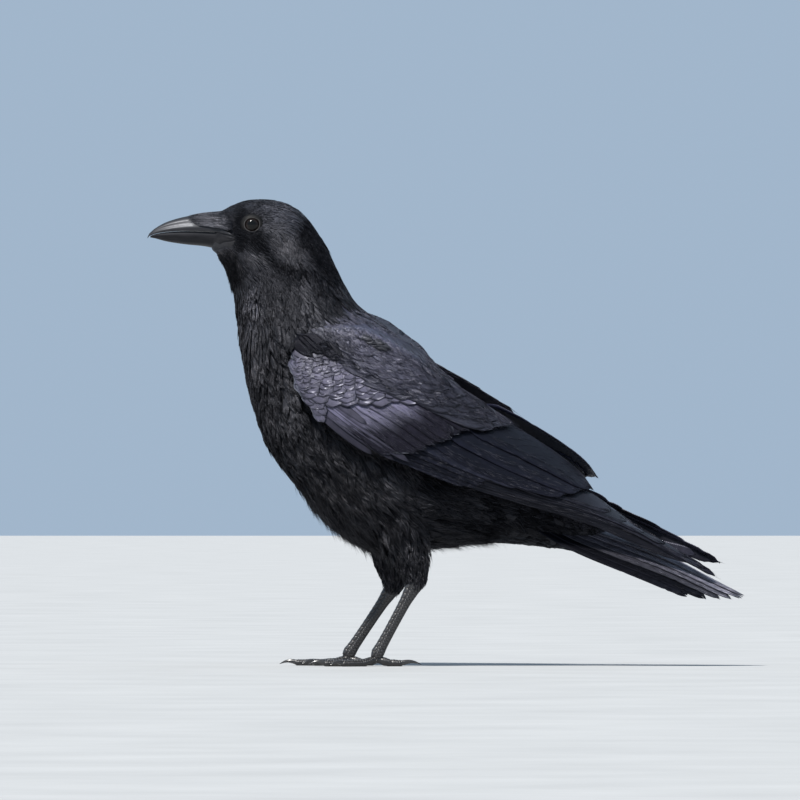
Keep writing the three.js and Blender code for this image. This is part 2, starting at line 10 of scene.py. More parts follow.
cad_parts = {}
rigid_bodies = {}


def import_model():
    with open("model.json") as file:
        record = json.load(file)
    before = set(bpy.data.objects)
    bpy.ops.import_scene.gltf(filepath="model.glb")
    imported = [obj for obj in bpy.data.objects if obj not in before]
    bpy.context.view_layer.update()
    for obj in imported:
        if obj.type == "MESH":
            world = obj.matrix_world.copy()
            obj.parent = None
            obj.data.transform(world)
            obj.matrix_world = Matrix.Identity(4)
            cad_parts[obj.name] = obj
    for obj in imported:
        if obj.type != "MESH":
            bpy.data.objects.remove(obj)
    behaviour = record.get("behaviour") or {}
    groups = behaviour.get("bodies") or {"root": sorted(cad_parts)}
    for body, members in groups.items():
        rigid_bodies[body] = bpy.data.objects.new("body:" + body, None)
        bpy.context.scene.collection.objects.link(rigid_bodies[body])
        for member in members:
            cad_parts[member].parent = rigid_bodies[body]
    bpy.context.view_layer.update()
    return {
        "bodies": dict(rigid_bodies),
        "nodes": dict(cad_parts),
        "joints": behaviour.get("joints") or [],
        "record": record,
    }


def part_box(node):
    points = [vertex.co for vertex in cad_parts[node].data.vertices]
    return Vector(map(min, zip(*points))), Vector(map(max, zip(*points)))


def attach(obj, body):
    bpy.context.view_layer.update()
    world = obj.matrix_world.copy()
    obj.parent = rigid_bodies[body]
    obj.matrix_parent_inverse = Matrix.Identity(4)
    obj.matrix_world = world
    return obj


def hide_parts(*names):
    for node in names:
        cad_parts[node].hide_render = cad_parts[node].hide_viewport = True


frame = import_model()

rng = np.random.default_rng(11)

# ---------------------------------------------------------------- sizes shared with the solids
BODY_TOP = [(-115, 291.2), (-102, 297.2), (-92.5, 298.9), (-82, 298.8), (-70, 295.6), (-60, 288),
            (-52.5, 277.8), (-45.4, 266.3), (-39, 252.6), (-33, 240.7), (-26, 230.6), (-14.5, 222),
            (0, 211), (19.2, 195.8), (38.4, 179.6), (53, 162.5), (69, 145), (84.5, 130.5),
            (100, 117.5), (114, 105.5), (126, 95), (134, 84)]
BODY_LOW = [(-122, 266), (-116, 261), (-111.5, 254.7), (-109, 247.7), (-107.2, 240.7), (-106.2, 234.3),
            (-105.3, 226.6), (-104.3, 218.3), (-103.2, 209.3), (-102.1, 200.3), (-100.3, 189.5),
            (-96.6, 173.5), (-90.2, 153), (-79.4, 131.2), (-64, 112), (-42.5, 87.8), (-15.5, 74),
            (16, 76.5), (44.8, 80), (76.8, 78.7), (107, 74.6), (127, 71.5)]
BODY_HALF = [9.5, 15.5, 18.5, 20.5, 21.5, 22, 23, 25, 28.5, 32.5, 37, 41.5, 45.5, 48, 48, 44.5, 38.5,
             31.5, 25.5, 19.5, 13, 6]
BODY_WIDEST = [0.5, 0.47, 0.47, 0.47, 0.47, 0.5, 0.5, 0.5, 0.5, 0.5, 0.5, 0.54, 0.54, 0.54, 0.54,
               0.52, 0.5, 0.5, 0.5, 0.5, 0.5, 0.5]
BODY_END = len(BODY_TOP) - 1

BILL_X = [-117, -126, -138, -149, -156.5, -160.5]
BILL_CULMEN = [290.9, 289.6, 287.4, 284.2, 280.2, 276.8]
BILL_MOUTH = [277.4, 278.1, 278.4, 277.8, 276.6, 275.1]
BILL_GONYS = [265.2, 267.6, 270, 271.7, 273.6, 274.3]
BILL_HALF = [9.6, 8.3, 6.5, 4.5, 2.6, 1.1]
BILL_HOOK = (-161.7, 273.6)
LOWER_SHORTER = 0.965

EYE_X = -94.9
EYE_RADIUS = 7.0

WRIST = (-66.6, 198.4)
WING_SLOPE = 26.95  # degrees below the level
RIGHT_LIFT = 4.5  # the right wing is carried so much higher
RIGHT_PITCH = 1.0  # and slopes so many degrees less
WING_A = [-3, 12, 30, 60, 90, 120, 150, 180, 208, 240, 270, 303]  # places along the wing
WING_START, WING_END = WING_A[0], WING_A[-1]
WING_LOW = [2, -16, -27.5, -35, -31, -29, -23.5, -17.5, -10, -4, -4.5, -4]
WING_HIGH = [12, 24, 31.5, 31, 29, 26.5, 24.2, 20.5, 12, 3.5, 2.5, -2]
WING_BULGE = [38, 44.5, 49, 52.5, 53, 50, 44.5, 37.5, 30.5, 23.5, 18, 12]
WING_CREST = [36, 34, 31, 27, 20, 10, 4.5, 2.5, 3.5, 9, 10, 9]
ROOF_CURVE = 2.1
ROOF_LIMIT = 1.15  # how far past its upper edge, in wing widths, the wing's surface still bends
CROWN_A = [-3, 12, 30, 60, 75, 90, 105, 120, 133, 145.5, 160, 175, 186, 193.5, 199, 204, 207.5, 240, 303]
CROWN_B = [12, 24, 31, 30.5, 29.5, 28.5, 27.5, 26.2, 25, 24.4, 23, 21.2, 19.2, 17.4, 15.4, 12.6, 10, 5, 1]

TAIL_ROOT = (80, 113.5)
TAIL_SLOPE = 25
TAIL_LENGTH = 155
TAIL_ROOT_SPREAD = 16
TAIL_TIP_SPREAD = 31
TAIL_ARCH = 11.5
TAIL_ROLL = 4.2

LEGS = {
    "left": dict(side=-1, hip=(0, 22, 100), thigh=(5, 21, 77), heel=(10.9, 19, 55),
                 foot=(-15.5, 21, 6)),
    "right": dict(side=1, hip=(-12, 22, 100), thigh=(-6.5, 21, 76), heel=(-2.6, 19, 53),
                  foot=(-34, 21, 6)),
}
ANKLE, SHAFT, TOE_JOINT = 5.4, 3.5, 4.3  # radii of the tarsus
LEG_FLAT = 0.78  # its width as a share of its depth
# Toes: name, degrees outwards from straight ahead, length, length of the claw, radius.
TOES = [("middle", 4, 33, 10.5, 2.45), ("inner", -24, 23, 9, 2.3), ("outer", 30, 25, 8.5, 2.3),
        ("hind", 184, 17, 12.5, 2.5)]

eye_low, eye_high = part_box("left_eye")
EYE_CENTRE = (np.array(eye_low) + np.array(eye_high)) * 500.0  # in mm, in the frame
SHIFT = np.array([EYE_CENTRE[0] - EYE_X, 0.0, 0.0])
EYE_Y = abs(EYE_CENTRE[1])
EYE_Z = EYE_CENTRE[2]


# ---------------------------------------------------------------- small maths
def through(values, u):
    """Catmull-Rom through evenly counted values, at the real places u."""
    v = np.asarray(values, float)
    u = np.asarray(u, float)
    i = np.clip(np.floor(u).astype(int), 0, len(v) - 2)
    f = u - i
    if v.ndim > 1:
        f = f[..., None]
    w = np.concatenate([[2 * v[0] - v[1]], v, [2 * v[-1] - v[-2]]])
    p0, p1, p2, p3 = w[i], w[i + 1], w[i + 2], w[i + 3]
    m1, m2 = (p2 - p0) / 2, (p3 - p1) / 2
    f2, f3 = f * f, f * f * f
    return ((2 * f3 - 3 * f2 + 1) * p1 + (f3 - 2 * f2 + f) * m1 + (3 * f2 - 2 * f3) * p2
            + (f3 - f2) * m2)


def place_in(knots, x):
    """Where x lies among rising knots, as a real index that runs on past the ends."""
    k = np.asarray(knots, float)
    i = np.clip(np.searchsorted(k, x) - 1, 0, len(k) - 2)
    return i + (x - k[i]) / (k[i + 1] - k[i])


def mix(a, b, t):
    """From a at t = 0 to b at t = 1."""
    return a + (b - a) * t


def smooth(x, low, high):
    """0 below low, 1 above high, and an even S between them."""
    t = np.clip((x - low) / (high - low), 0, 1)
    return t * t * (3 - 2 * t)


def unit(v):
    """Vectors at length 1."""
    return v / np.maximum(np.linalg.norm(v, axis=-1, keepdims=True), 1e-9)


def dot(a, b):
    """Dot products, with the last axis kept."""
    return (a * b).sum(-1, keepdims=True)


def body_point(u, turn, grow=0.0):
    """A point of the body's outer form: u counts sections, turn runs round from the top."""
    u, turn, grow = np.broadcast_arrays(np.asarray(u, float), turn, grow)
    top, low = through(BODY_TOP, u), through(BODY_LOW, u)
    half, widest = through(BODY_HALF, u) + grow, through(BODY_WIDEST, u)
    height = np.hypot(*np.moveaxis(top - low, -1, 0))
    rise = np.cos(turn)
    share = widest + np.where(rise > 0, 1 - widest, widest) * rise + grow / height * rise
    return np.stack([mix(low[..., 0], top[..., 0], share), half * np.sin(turn),
                     mix(low[..., 1], top[..., 1], share)], -1)


def wing_value(table, a):
    """What a table of the wing says at the places a along it."""
    return through(table, place_in(WING_A, a))


def on_wing(a):
    """Places along the wing, held inside its length."""
    return np.clip(a, WING_START, WING_END)


def wing_carriage(side):
    """The slope of one wing in radians, and how much higher it is carried than the left one."""
    right = side > 0
    return math.radians(WING_SLOPE - RIGHT_PITCH * right), RIGHT_LIFT * right


def wing_roof(a, b):
    """The wing's surface at (a, b): distance from the bird's middle, steepness, slant length per mm."""
    low, high = wing_value(WING_LOW, a), wing_value(WING_HIGH, a)
    bulge, crest = wing_value(WING_BULGE, a), wing_value(WING_CREST, a)
    across = np.clip((b - low) / (high - low), 0, ROOF_LIMIT)
    steep = (bulge - crest) / (high - low) * ROOF_CURVE * across ** (ROOF_CURVE - 1)
    return bulge + (crest - bulge) * across ** ROOF_CURVE, steep, np.hypot(1, steep)


def wing_point(side, a, b, lift):
    """A point of the folded wing, a along it from the wrist, b across it upwards, lift above it."""
    a, b, lift = np.broadcast_arrays(np.asarray(a, float), b, lift)
    on = np.maximum(a, WING_START)
    y, steep, lean = wing_roof(on, b)
    y = y - 0.5 * (on - a)
    pitch, higher = wing_carriage(side)
    up = b + lift * steep / lean + higher
    return np.stack([WRIST[0] + a * math.cos(pitch) + up * math.sin(pitch),
                     side * (y + lift / lean),
                     WRIST[1] - a * math.sin(pitch) + up * math.cos(pitch)], -1)


def wing_place(side, p):
    """The wing's (a, b) beside points p."""
    pitch, higher = wing_carriage(side)
    dx, dz = p[..., 0] - WRIST[0], p[..., 2] - WRIST[1]
    a = dx * math.cos(pitch) - dz * math.sin(pitch)
    return a, dx * math.sin(pitch) + dz * math.cos(pitch) - higher


def tail_point(s, q, lift):
    """A point of the arched tail, s along it and q across it from -1 to 1."""
    s, q, lift = np.broadcast_arrays(np.asarray(s, float), q, lift)
    slope = math.radians(TAIL_SLOPE)
    opened = s / TAIL_LENGTH
    drop = ((0.92 + 1.2 * opened * (1 - opened))
            * ((TAIL_ARCH - 2.4) * np.abs(q) ** 1.6 - TAIL_ROLL * q) - lift)
    drop = (drop + mix(2.0, 3.0, smooth(opened, 0.2, 0.9))
            - 2.9 * np.exp(-((opened - 0.64) / 0.27) ** 2))
    return np.stack([TAIL_ROOT[0] + s * math.cos(slope) - drop * math.sin(slope),
                     q * mix(TAIL_ROOT_SPREAD, TAIL_TIP_SPREAD, opened),
                     TAIL_ROOT[1] - s * math.sin(slope) - drop * math.cos(slope)], -1)


# ---------------------------------------------------------------- meshes
def new_object(name, points, faces, materials, smooth_faces=None, maps=None, values=None,
               which=None):
    """A mesh object from points in mm and a list of face arrays, of four or three corners each."""
    mesh = bpy.data.meshes.new(name)
    p = (np.asarray(points, float).reshape(-1, 3) + SHIFT) * 0.001
    corners = np.concatenate([f.reshape(-1) for f in faces]).astype(np.int32)
    totals = np.concatenate([np.full(len(f), f.shape[1]) for f in faces])
    starts = np.concatenate([[0], np.cumsum(totals)[:-1]]).astype(np.int32)
    mesh.vertices.add(len(p))
    mesh.vertices.foreach_set("co", p.astype(np.float32).reshape(-1))
    mesh.loops.add(len(corners))
    mesh.loops.foreach_set("vertex_index", corners)
    mesh.polygons.add(len(starts))
    mesh.polygons.foreach_set("loop_start", starts)
    shaded = np.ones(len(starts), bool) if smooth_faces is None else smooth_faces
    mesh.polygons.foreach_set("use_smooth", shaded)
    if which is not None:
        mesh.polygons.foreach_set("material_index", which.astype(np.int32))
    for key, uv in (maps or {}).items():
        layer = mesh.uv_layers.new(name=key)
        layer.data.foreach_set("uv", np.asarray(uv, np.float32)[corners].reshape(-1))
    for key, value in (values or {}).items():
        attribute = mesh.attributes.new(key, "FLOAT", "POINT")
        attribute.data.foreach_set("value", np.asarray(value, np.float32).reshape(-1))
    mesh.update(calc_edges=True)
    for material in materials:
        mesh.materials.append(material)
    piece = bpy.data.objects.new(name, mesh)
    bpy.context.scene.collection.objects.link(piece)
    return piece


def ring_faces(rows, columns):
    """Quads of a tube of rings, each of so many points."""
    r = np.arange(rows - 1)[:, None] * columns
    c = np.arange(columns)[None, :]
    d = (c + 1) % columns
    return np.stack([r + c, r + d, r + columns + d, r + columns + c], -1).reshape(-1, 4)


def tube(rings):
    """Points and faces of a closed tube over rings (rows, columns, 3)."""
    rows, columns = rings.shape[:2]
    quads = ring_faces(rows, columns)
    points = np.concatenate([rings.reshape(-1, 3), rings[0].mean(0)[None], rings[-1].mean(0)[None]])
    c = np.arange(columns)
    d = (c + 1) % columns
    first, last = rows * columns, rows * columns + 1  # the middles of the two ends
    end = (rows - 1) * columns
    ends = np.concatenate([np.stack([d, c, np.full(columns, first)], -1),
                           np.stack([c + end, d + end, np.full(columns, last)], -1)])
    return points, quads, ends


def joined(parts):
    """Several (points, quads, triangles) as one."""
    points, quads, ends, start = [], [], [], 0
    for p, q, e in parts:
        points.append(p)
        quads.append(q + start)
        ends.append(e + start)
        start += len(p)
    return np.concatenate(points), np.concatenate(quads), np.concatenate(ends)


def facing_out(points, faces):
    """The faces, turned over if the closed body that they make faces in."""
    volume = 0.0
    for f in faces:
        for k in range(1, f.shape[1] - 1):
            a, b, c = points[f[:, 0]], points[f[:, k]], points[f[:, k + 1]]
            volume += (a * np.cross(b, c)).sum()
    return faces if volume > 0 else [f[:, ::-1] for f in faces]


def fan(columns, at, flip):
    """Faces that close a row of points, as quads and triangles from its first point."""
    quads, tris = [], []
    k = 1
    while k < columns - 1:
        if k + 2 < columns:
            quads.append([0, k, k + 1, k + 2])
            k += 2
        else:
            tris.append([0, k, k + 1])
            k += 1
    quads = np.array(quads, int).reshape(-1, 4) + at
    tris = np.array(tris, int).reshape(-1, 3) + at
    return (quads[:, ::-1], tris[:, ::-1]) if flip else (quads, tris)


def grid_faces(rows, columns):
    """Quads over a grid of points, with the first points of its rows and of its columns."""
    r = np.arange(rows - 1)[:, None] * columns
    c = np.arange(columns - 1)[None, :]
    top = np.stack([r + c, r + columns + c, r + columns + c + 1, r + c + 1], -1).reshape(-1, 4)
    return top, r[:, 0], c[0]


def vane_faces(count, rows, columns):
    """Faces of closed vanes: the upper side of rows by columns, a flat under side, two ends.
    Returns quads, triangles and which quads are smooth."""
    top, r, _ = grid_faces(rows, columns)
    under = np.stack([r, r + columns - 1, r + 2 * columns - 1, r + columns], -1)
    root_quads, root_tris = fan(columns, 0, False)
    tip_quads, tip_tris = fan(columns, (rows - 1) * columns, True)
    quads = np.concatenate([top, under, root_quads, tip_quads])
    tris = np.concatenate([root_tris, tip_tris])
    shaded = np.arange(len(quads)) < len(top)
    step = (np.arange(count) * rows * columns)[:, None, None]
    return ((quads[None] + step).reshape(-1, 4), (tris[None] + step).reshape(-1, 3),
            np.tile(shaded, count))


def sheet_faces(count, rows, columns):
    """Faces of closed plates: rows by columns above, as many below, and a rim."""
    top, r, c = grid_faces(rows, columns)
    low = rows * columns
    under = top[:, ::-1] + low
    left = np.stack([r, r + low, r + columns + low, r + columns], -1)
    right = left[:, ::-1] + columns - 1
    root = np.stack([c, c + 1, c + 1 + low, c + low], -1)
    tip = root[:, ::-1] + (rows - 1) * columns
    quads = np.concatenate([top, under, left, right, root, tip])
    shaded = np.arange(len(quads)) < 2 * len(top)
    step = (np.arange(count) * rows * columns * 2)[:, None, None]
    return (quads[None] + step).reshape(-1, 4), np.tile(shaded, count)


# ---------------------------------------------------------------- the body under the coat
COAT_DEPTH = [0.7, 1.0, 1.4, 1.7, 2.0, 2.4, 2.8, 3.1, 3.4, 3.6, 3.9, 4, 4, 4, 4, 4, 4, 3.7, 3.2,
              2.6, 1.8, 1.0]
THIGH_COAT = 2.4
VOXEL = 0.0014


def body_form():
    """The hide of head, neck, trunk and rump: the body's surface less the coat's depth."""
    u = np.linspace(0, BODY_END, 170)
    turn = np.linspace(0, 2 * math.pi, 72, endpoint=False)
    return tube(body_point(u[:, None], turn[None], -through(COAT_DEPTH, u)[:, None]))


def limb_rings(at, fore, side, count, sides, grow=0.0):
    """Rings along a limb through the stops "at", with half sizes front to back and sideways."""
    u = np.linspace(0, len(at) - 1, count)
    centre = through(np.array(at, float), u)
    along = unit(np.gradient(centre, axis=0))
    across = np.array([0.0, 1.0, 0.0])
    front = unit(np.cross(across, along))
    turn = np.linspace(0, 2 * math.pi, sides, endpoint=False)
    f, s = through(fore, u) + grow, through(side, u) + grow
    return (centre[:, None] + front[:, None] * (f[:, None] * np.cos(turn))[..., None]
            + across * (s[:, None] * np.sin(turn))[..., None])


def leg_point(leg, joint):
    """The place of one of a leg's joints, on its own side of the bird."""
    x, y, z = leg[joint]
    return np.array([x, leg["side"] * y, z], float)


def thigh_rings(leg, grow, count=26, sides=30):
    """The feathered thigh and heel, grown or shrunk all round."""
    hip, middle, heel, foot = (leg_point(leg, joint) for joint in ("hip", "thigh", "heel", "foot"))
    at = [hip, mix(hip, middle, 0.6), middle, mix(middle, heel, 0.52), mix(middle, heel, 0.8),
          heel + [-0.6, 0, 1.5], mix(heel, foot, 0.13)]
    return limb_rings(at, [19, 16.5, 14, 12.2, 10.4, 8.2, 6.2], [12, 11, 9.5, 8.0, 6.8, 5.9, 5.1],
                      count, sides, grow)


def arm_form(side):
    """The folded arm under the wing coverts."""
    rings = []
    for a in np.linspace(1, 98, 50):
        low, high = wing_value(WING_LOW, a) + 1.5, wing_value(WING_HIGH, a) - 2
        across = 0.5 - 0.5 * np.cos(np.linspace(0, math.pi, 18))
        rim = np.sqrt(np.sin(across * math.pi)) * math.sqrt(min(1.0, a / 14))
        outer = wing_point(side, a, mix(low, high, across), -5.5 + 6.2 * rim)
        inner = wing_point(side, a, mix(low, high, across[::-1]), -6.5)
        rings.append(np.concatenate([outer, inner[1:-1]]))
    return tube(np.array(rings))


REMESH_ROUNDS = 8  # how often the voxel mesh is smoothed
LIE_ROUNDS = 14  # how often the lie of the coat is spread over the hide


def remeshed(parts):
    """One smooth closed surface round closed parts: points, quads and normals, in mm."""
    points, quads, ends = joined(parts)
    rough = new_object("rough", points, [quads, ends], [])
    modifier = rough.modifiers.new("remesh", "REMESH")
    modifier.mode = "VOXEL"
    modifier.voxel_size = VOXEL
    dressed = rough.evaluated_get(bpy.context.evaluated_depsgraph_get())
    mesh = dressed.to_mesh()
    p = np.zeros(len(mesh.vertices) * 3, np.float32)
    mesh.vertices.foreach_get("co", p)
    p = p.reshape(-1, 3).astype(float) * 1000 - SHIFT
    faces = np.zeros(len(mesh.loops), np.int32)
    mesh.loops.foreach_get("vertex_index", faces)
    faces = faces.reshape(-1, 4)
    dressed.to_mesh_clear()
    bpy.data.objects.remove(rough, do_unlink=True)
    for _ in range(REMESH_ROUNDS):
        p = relaxed(p, faces, p, 0.6)
    return p, faces, surface_normals(p, faces)


def relaxed(values, faces, points, share):
    """Values at the points of a mesh, each drawn to its neighbours' mean."""
    total = np.zeros_like(values)
    count = np.zeros(len(points))
    for k in range(4):
        a, b = faces[:, k], faces[:, (k + 1) % 4]
        for i, j in ((a, b), (b, a)):
            for axis in range(values.shape[1]):
                total[:, axis] += np.bincount(i, values[j, axis], len(points))
            count += np.bincount(i, minlength=len(points))
    return mix(values, total / np.maximum(count, 1)[:, None], share)


def surface_normals(points, faces):
    """Normals at the points, each from the quads round it by their area."""
    a, b, c, d = (points[faces[:, k]] for k in range(4))
    n = np.cross(c - a, d - b)
    total = np.zeros_like(points)
    for k in range(4):
        for axis in range(3):
            total[:, axis] += np.bincount(faces[:, k], n[:, axis], len(points))
    return unit(total)


def face_folds(points):
    """How far the skin of the face moves out: brow, the dip before the eye, cheek and gape."""
    d = points - [EYE_X, 0, EYE_Z]
    near = np.hypot(d[:, 0], d[:, 2])
    brow = 0.9 * np.exp(-((d[:, 0] + 1.5) / 7) ** 2 - ((d[:, 2] - 7.2) / 2.4) ** 2)
    dip = -0.9 * np.exp(-((d[:, 0] + 10) / 4.5) ** 2 - ((d[:, 2] + 0.5) / 4.5) ** 2)
    cheek = 0.7 * np.exp(-((d[:, 0] - 5) / 8) ** 2 - ((d[:, 2] + 12) / 6) ** 2)
    socket = -0.6 * np.exp(-(near / 6.0) ** 4)
    return (brow + dip + cheek + socket) * (np.abs(points[:, 1]) > 6)


def wing_groove(points):
    """How deep the side is pressed in under the wings' lower edges, where their shadow falls."""
    depth = np.zeros(len(points))
    for side in (-1, 1):
        a, b = wing_place(side, points)
        low = wing_value(WING_LOW, on_wing(a))
        run = smooth(a, 6, 34) * (1 - smooth(a, 100, 150))
        depth += (points[:, 1] * side > 0) * run * 4.6 * np.exp(-((b - low - 0.5) / 5.5) ** 2)
    return depth


thighs = {name: thigh_rings(leg, -THIGH_COAT) for name, leg in LEGS.items()}
HIDE, HIDE_FACES, HIDE_NORMALS = remeshed([body_form()] + [tube(r) for r in thighs.values()])
HIDE = HIDE + HIDE_NORMALS * (face_folds(HIDE) - wing_groove(HIDE))[:, None]
HIDE_NORMALS = surface_normals(HIDE, HIDE_FACES)
HIDE_TREE = BVHTree.FromPolygons([Vector(p) for p in HIDE], HIDE_FACES.tolist())


# ---------------------------------------------------------------- lie of the coat
def lie_of_hide():
    """For each point of the hide: station along the body, turn round it, which leg, and the lie."""
    u = np.linspace(0.02, BODY_END - 0.02, 168)
    turn = np.linspace(-math.pi, math.pi, 72, endpoint=False)
    uu, tt = np.meshgrid(u, turn, indexing="ij")
    grow = -through(COAT_DEPTH, uu)
    here = body_point(uu, tt, grow)
    ahead = unit(body_point(uu + 0.02, tt, grow) - body_point(uu - 0.02, tt, grow))
    samples = [(here.reshape(-1, 3), ahead.reshape(-1, 3), uu.ravel(), tt.ravel(), 0)]
    for which, rings in enumerate(thighs.values(), 1):
        down = unit(np.gradient(rings, axis=0))
        share = np.broadcast_to(np.linspace(0, 1, len(rings))[:, None], rings.shape[:2])
        round_ = np.broadcast_to(np.linspace(0, 2 * math.pi, rings.shape[1]), rings.shape[:2])
        samples.append((rings.reshape(-1, 3), down.reshape(-1, 3), share.ravel(), round_.ravel(),
                        which))
    points = np.concatenate([s[0] for s in samples])
    lies = np.concatenate([s[1] for s in samples])
    stations = np.concatenate([s[2] for s in samples])
    turns = np.concatenate([s[3] for s in samples])
    tags = np.concatenate([np.full(len(s[0]), s[4]) for s in samples])
    tree = KDTree(len(points))
    for i, p in enumerate(points):
        tree.insert(p, i)
    tree.balance()
    nearest = np.array([tree.find(p)[1] for p in HIDE])
    lie = lies[nearest]
    for _ in range(LIE_ROUNDS):
        lie = relaxed(lie, HIDE_FACES, HIDE, 0.7)
    lie = unit(lie - HIDE_NORMALS * dot(lie, HIDE_NORMALS))
    return stations[nearest], turns[nearest], tags[nearest], lie


STATION, TURN, TAG, LIE = lie_of_hide()


FAR_OUTSIDE = -99.0  # mm inside a wing's outline, for points that aren't near it


def under_wing(points, margin):
    """How far inside the nearer wing's outline points lie, in mm, minus the margin."""
    inside = np.full(len(points), FAR_OUTSIDE)
    for side in (-1, 1):
        a, b = wing_place(side, points)
        low, high = (wing_value(table, on_wing(a)) for table in (WING_LOW, WING_HIGH))
        depth = (np.minimum(np.minimum(b - low, high - b),
                            np.minimum(a - WING_START, WING_END - a)) - margin)
        inside = np.where(points[:, 1] * side > 0, depth, inside)
    return inside


def scatter(spacing, wanted, crowd=4.0):
    """Evenly strewn roots on the hide: faces and points, at least "spacing" apart (per point)."""
    corners = HIDE[HIDE_FACES]
    area = (np.linalg.norm(np.cross(corners[:, 2] - corners[:, 0], corners[:, 3] - corners[:, 1]),
                           axis=1) / 2)
    gap = spacing[HIDE_FACES].mean(1)
    ok = wanted[HIDE_FACES].all(1)
    weight = np.where(ok, area / gap ** 2, 0)
    chance = np.cumsum(weight) / weight.sum()
    count = int(weight.sum() * crowd)
    face = np.searchsorted(chance, rng.random(count))
    s, t = rng.random((2, count, 1))
    c = corners[face]
    p = mix(mix(c[:, 0], c[:, 1], s), mix(c[:, 3], c[:, 2], s), t)
    tree = KDTree(count)
    for i, q in enumerate(p):
        tree.insert(q, i)
    tree.balance()
    free = np.ones(count, bool)
    kept = []
    gaps = gap[face]
    for i in range(count):
        if free[i]:
            kept.append(i)
            for _, j, _ in tree.find_range(p[i], gaps[i]):
                free[j] = False
    kept = np.array(kept)
    return face[kept], p[kept]


def marched(face, start, length, stops, turned=0.0, stiff=0.5):
    """Lines of feathers along the hide's lie: centres and normals at the stops (0 to 1)."""
    count, rows = len(start), len(stops)
    centres = np.zeros((count, rows, 3))
    normals = np.zeros((count, rows, 3))
    lie0 = LIE[HIDE_FACES[face, 0]]
    n0 = HIDE_NORMALS[HIDE_FACES[face, 0]]
    angle = np.broadcast_to(turned, (count,))[:, None]
    heading = unit(lie0 * np.cos(angle) + np.cross(n0, lie0) * np.sin(angle))
    steps = np.diff(stops)
    find = HIDE_TREE.find_nearest
    for i in range(count):
        p, d, n = Vector(start[i]), Vector(heading[i]), Vector(n0[i])
        a = float(angle[i, 0])
        ca, sa = math.cos(a), math.sin(a)
        centres[i, 0], normals[i, 0] = p, n
        for r in range(1, rows):
            q, _, f, _ = find(p + d * (length[i] * steps[r - 1]))
            v = HIDE_FACES[f, 0]
            n = Vector(HIDE_NORMALS[v])
            lie = Vector(LIE[v])
            lie = lie * ca + n.cross(lie) * sa
            d = d * stiff + lie * (1 - stiff)
            d = (d - n * d.dot(n)).normalized()
            p = q
            centres[i, r], normals[i, r] = p, n
    return centres, normals


# ---------------------------------------------------------------- materials
class Paint:
    """A material of one Principled shader, with short calls for the nodes that feed it."""

    def __init__(self, name, **fixed):
        self.material = bpy.data.materials.new(name)
        self.material.use_nodes = True
        self.tree = self.material.node_tree
        self.tree.nodes.clear()
        self.shader = self.tree.nodes.new("ShaderNodeBsdfPrincipled")
        out = self.tree.nodes.new("ShaderNodeOutputMaterial")
        self.tree.links.new(self.shader.outputs[0], out.inputs[0])
        for key, value in fixed.items():
            self.shader.inputs[key.replace("_", " ")].default_value = value

    def node(self, kind, *wires, **settings):
        """A node with its settings; wires are (socket, a value or another node's output)."""
        node = self.tree.nodes.new("ShaderNode" + kind)
        for key, value in settings.items():
            setattr(node, key, value)
        for socket, value in wires:
            self.wire(value, node.inputs[socket])
        return node

    def wire(self, value, socket):
        if isinstance(value, bpy.types.NodeSocket):
            self.tree.links.new(value, socket)
        else:
            socket.default_value = value

    def math(self, operation, a, b=0.0, c=None, clamp=False):
        node = self.node("Math", (0, a), (1, b), operation=operation, use_clamp=clamp)
        if c is not None:
            self.wire(c, node.inputs[2])
        return node.outputs[0]

    def attribute(self, name):
        return self.node("Attribute", attribute_name=name).outputs["Fac"]

    def place(self, stretch=(1, 1, 1)):
        where = self.node("TexCoord").outputs["Object"]
        return self.node("Mapping", ("Vector", where), ("Scale", stretch)).outputs[0]

    def noise(self, scale, detail=3.0, vector=None, roughness=0.5):
        node = self.node("TexNoise", ("Scale", scale), ("Detail", detail), ("Roughness", roughness))
        self.wire(vector if vector is not None else self.place(), node.inputs["Vector"])
        return node.outputs["Fac"]

    def ramp(self, value, *stops):
        node = self.node("ValToRGB", ("Fac", value))
        band = node.color_ramp
        while len(band.elements) < len(stops):
            band.elements.new(0.5)
        for element, (at, colour) in zip(band.elements, stops):
            element.position = at
            element.color = (*colour, 1) if len(colour) == 3 else colour
        return node.outputs["Color"]

    def blend(self, share, a, b, how="MIX"):
        node = self.node("Mix", (0, share), data_type="RGBA", blend_type=how)
        for socket, value in ((6, a), (7, b)):  # the two colours
            self.wire((*value, 1) if isinstance(value, tuple) else value, node.inputs[socket])
        return node.outputs[2]

    def shaded(self, colour, shade):
        """A colour times a grey value."""
        grey = self.node("CombineColor", (0, shade), (1, shade), (2, shade)).outputs[0]
        return self.blend(1.0, colour, grey, "MULTIPLY")

    def spread(self, value, low, high, to_low, to_high):
        node = self.node("MapRange", ("Value", value), ("From Min", low), ("From Max", high),
                         ("To Min", to_low), ("To Max", to_high))
        return node.outputs[0]

    def bump(self, height, strength, distance):
        node = self.node("Bump", ("Height", height), ("Strength", strength), ("Distance", distance))
        return node.outputs[0]

    def set(self, key, value):
        self.wire(value, self.shader.inputs[key])


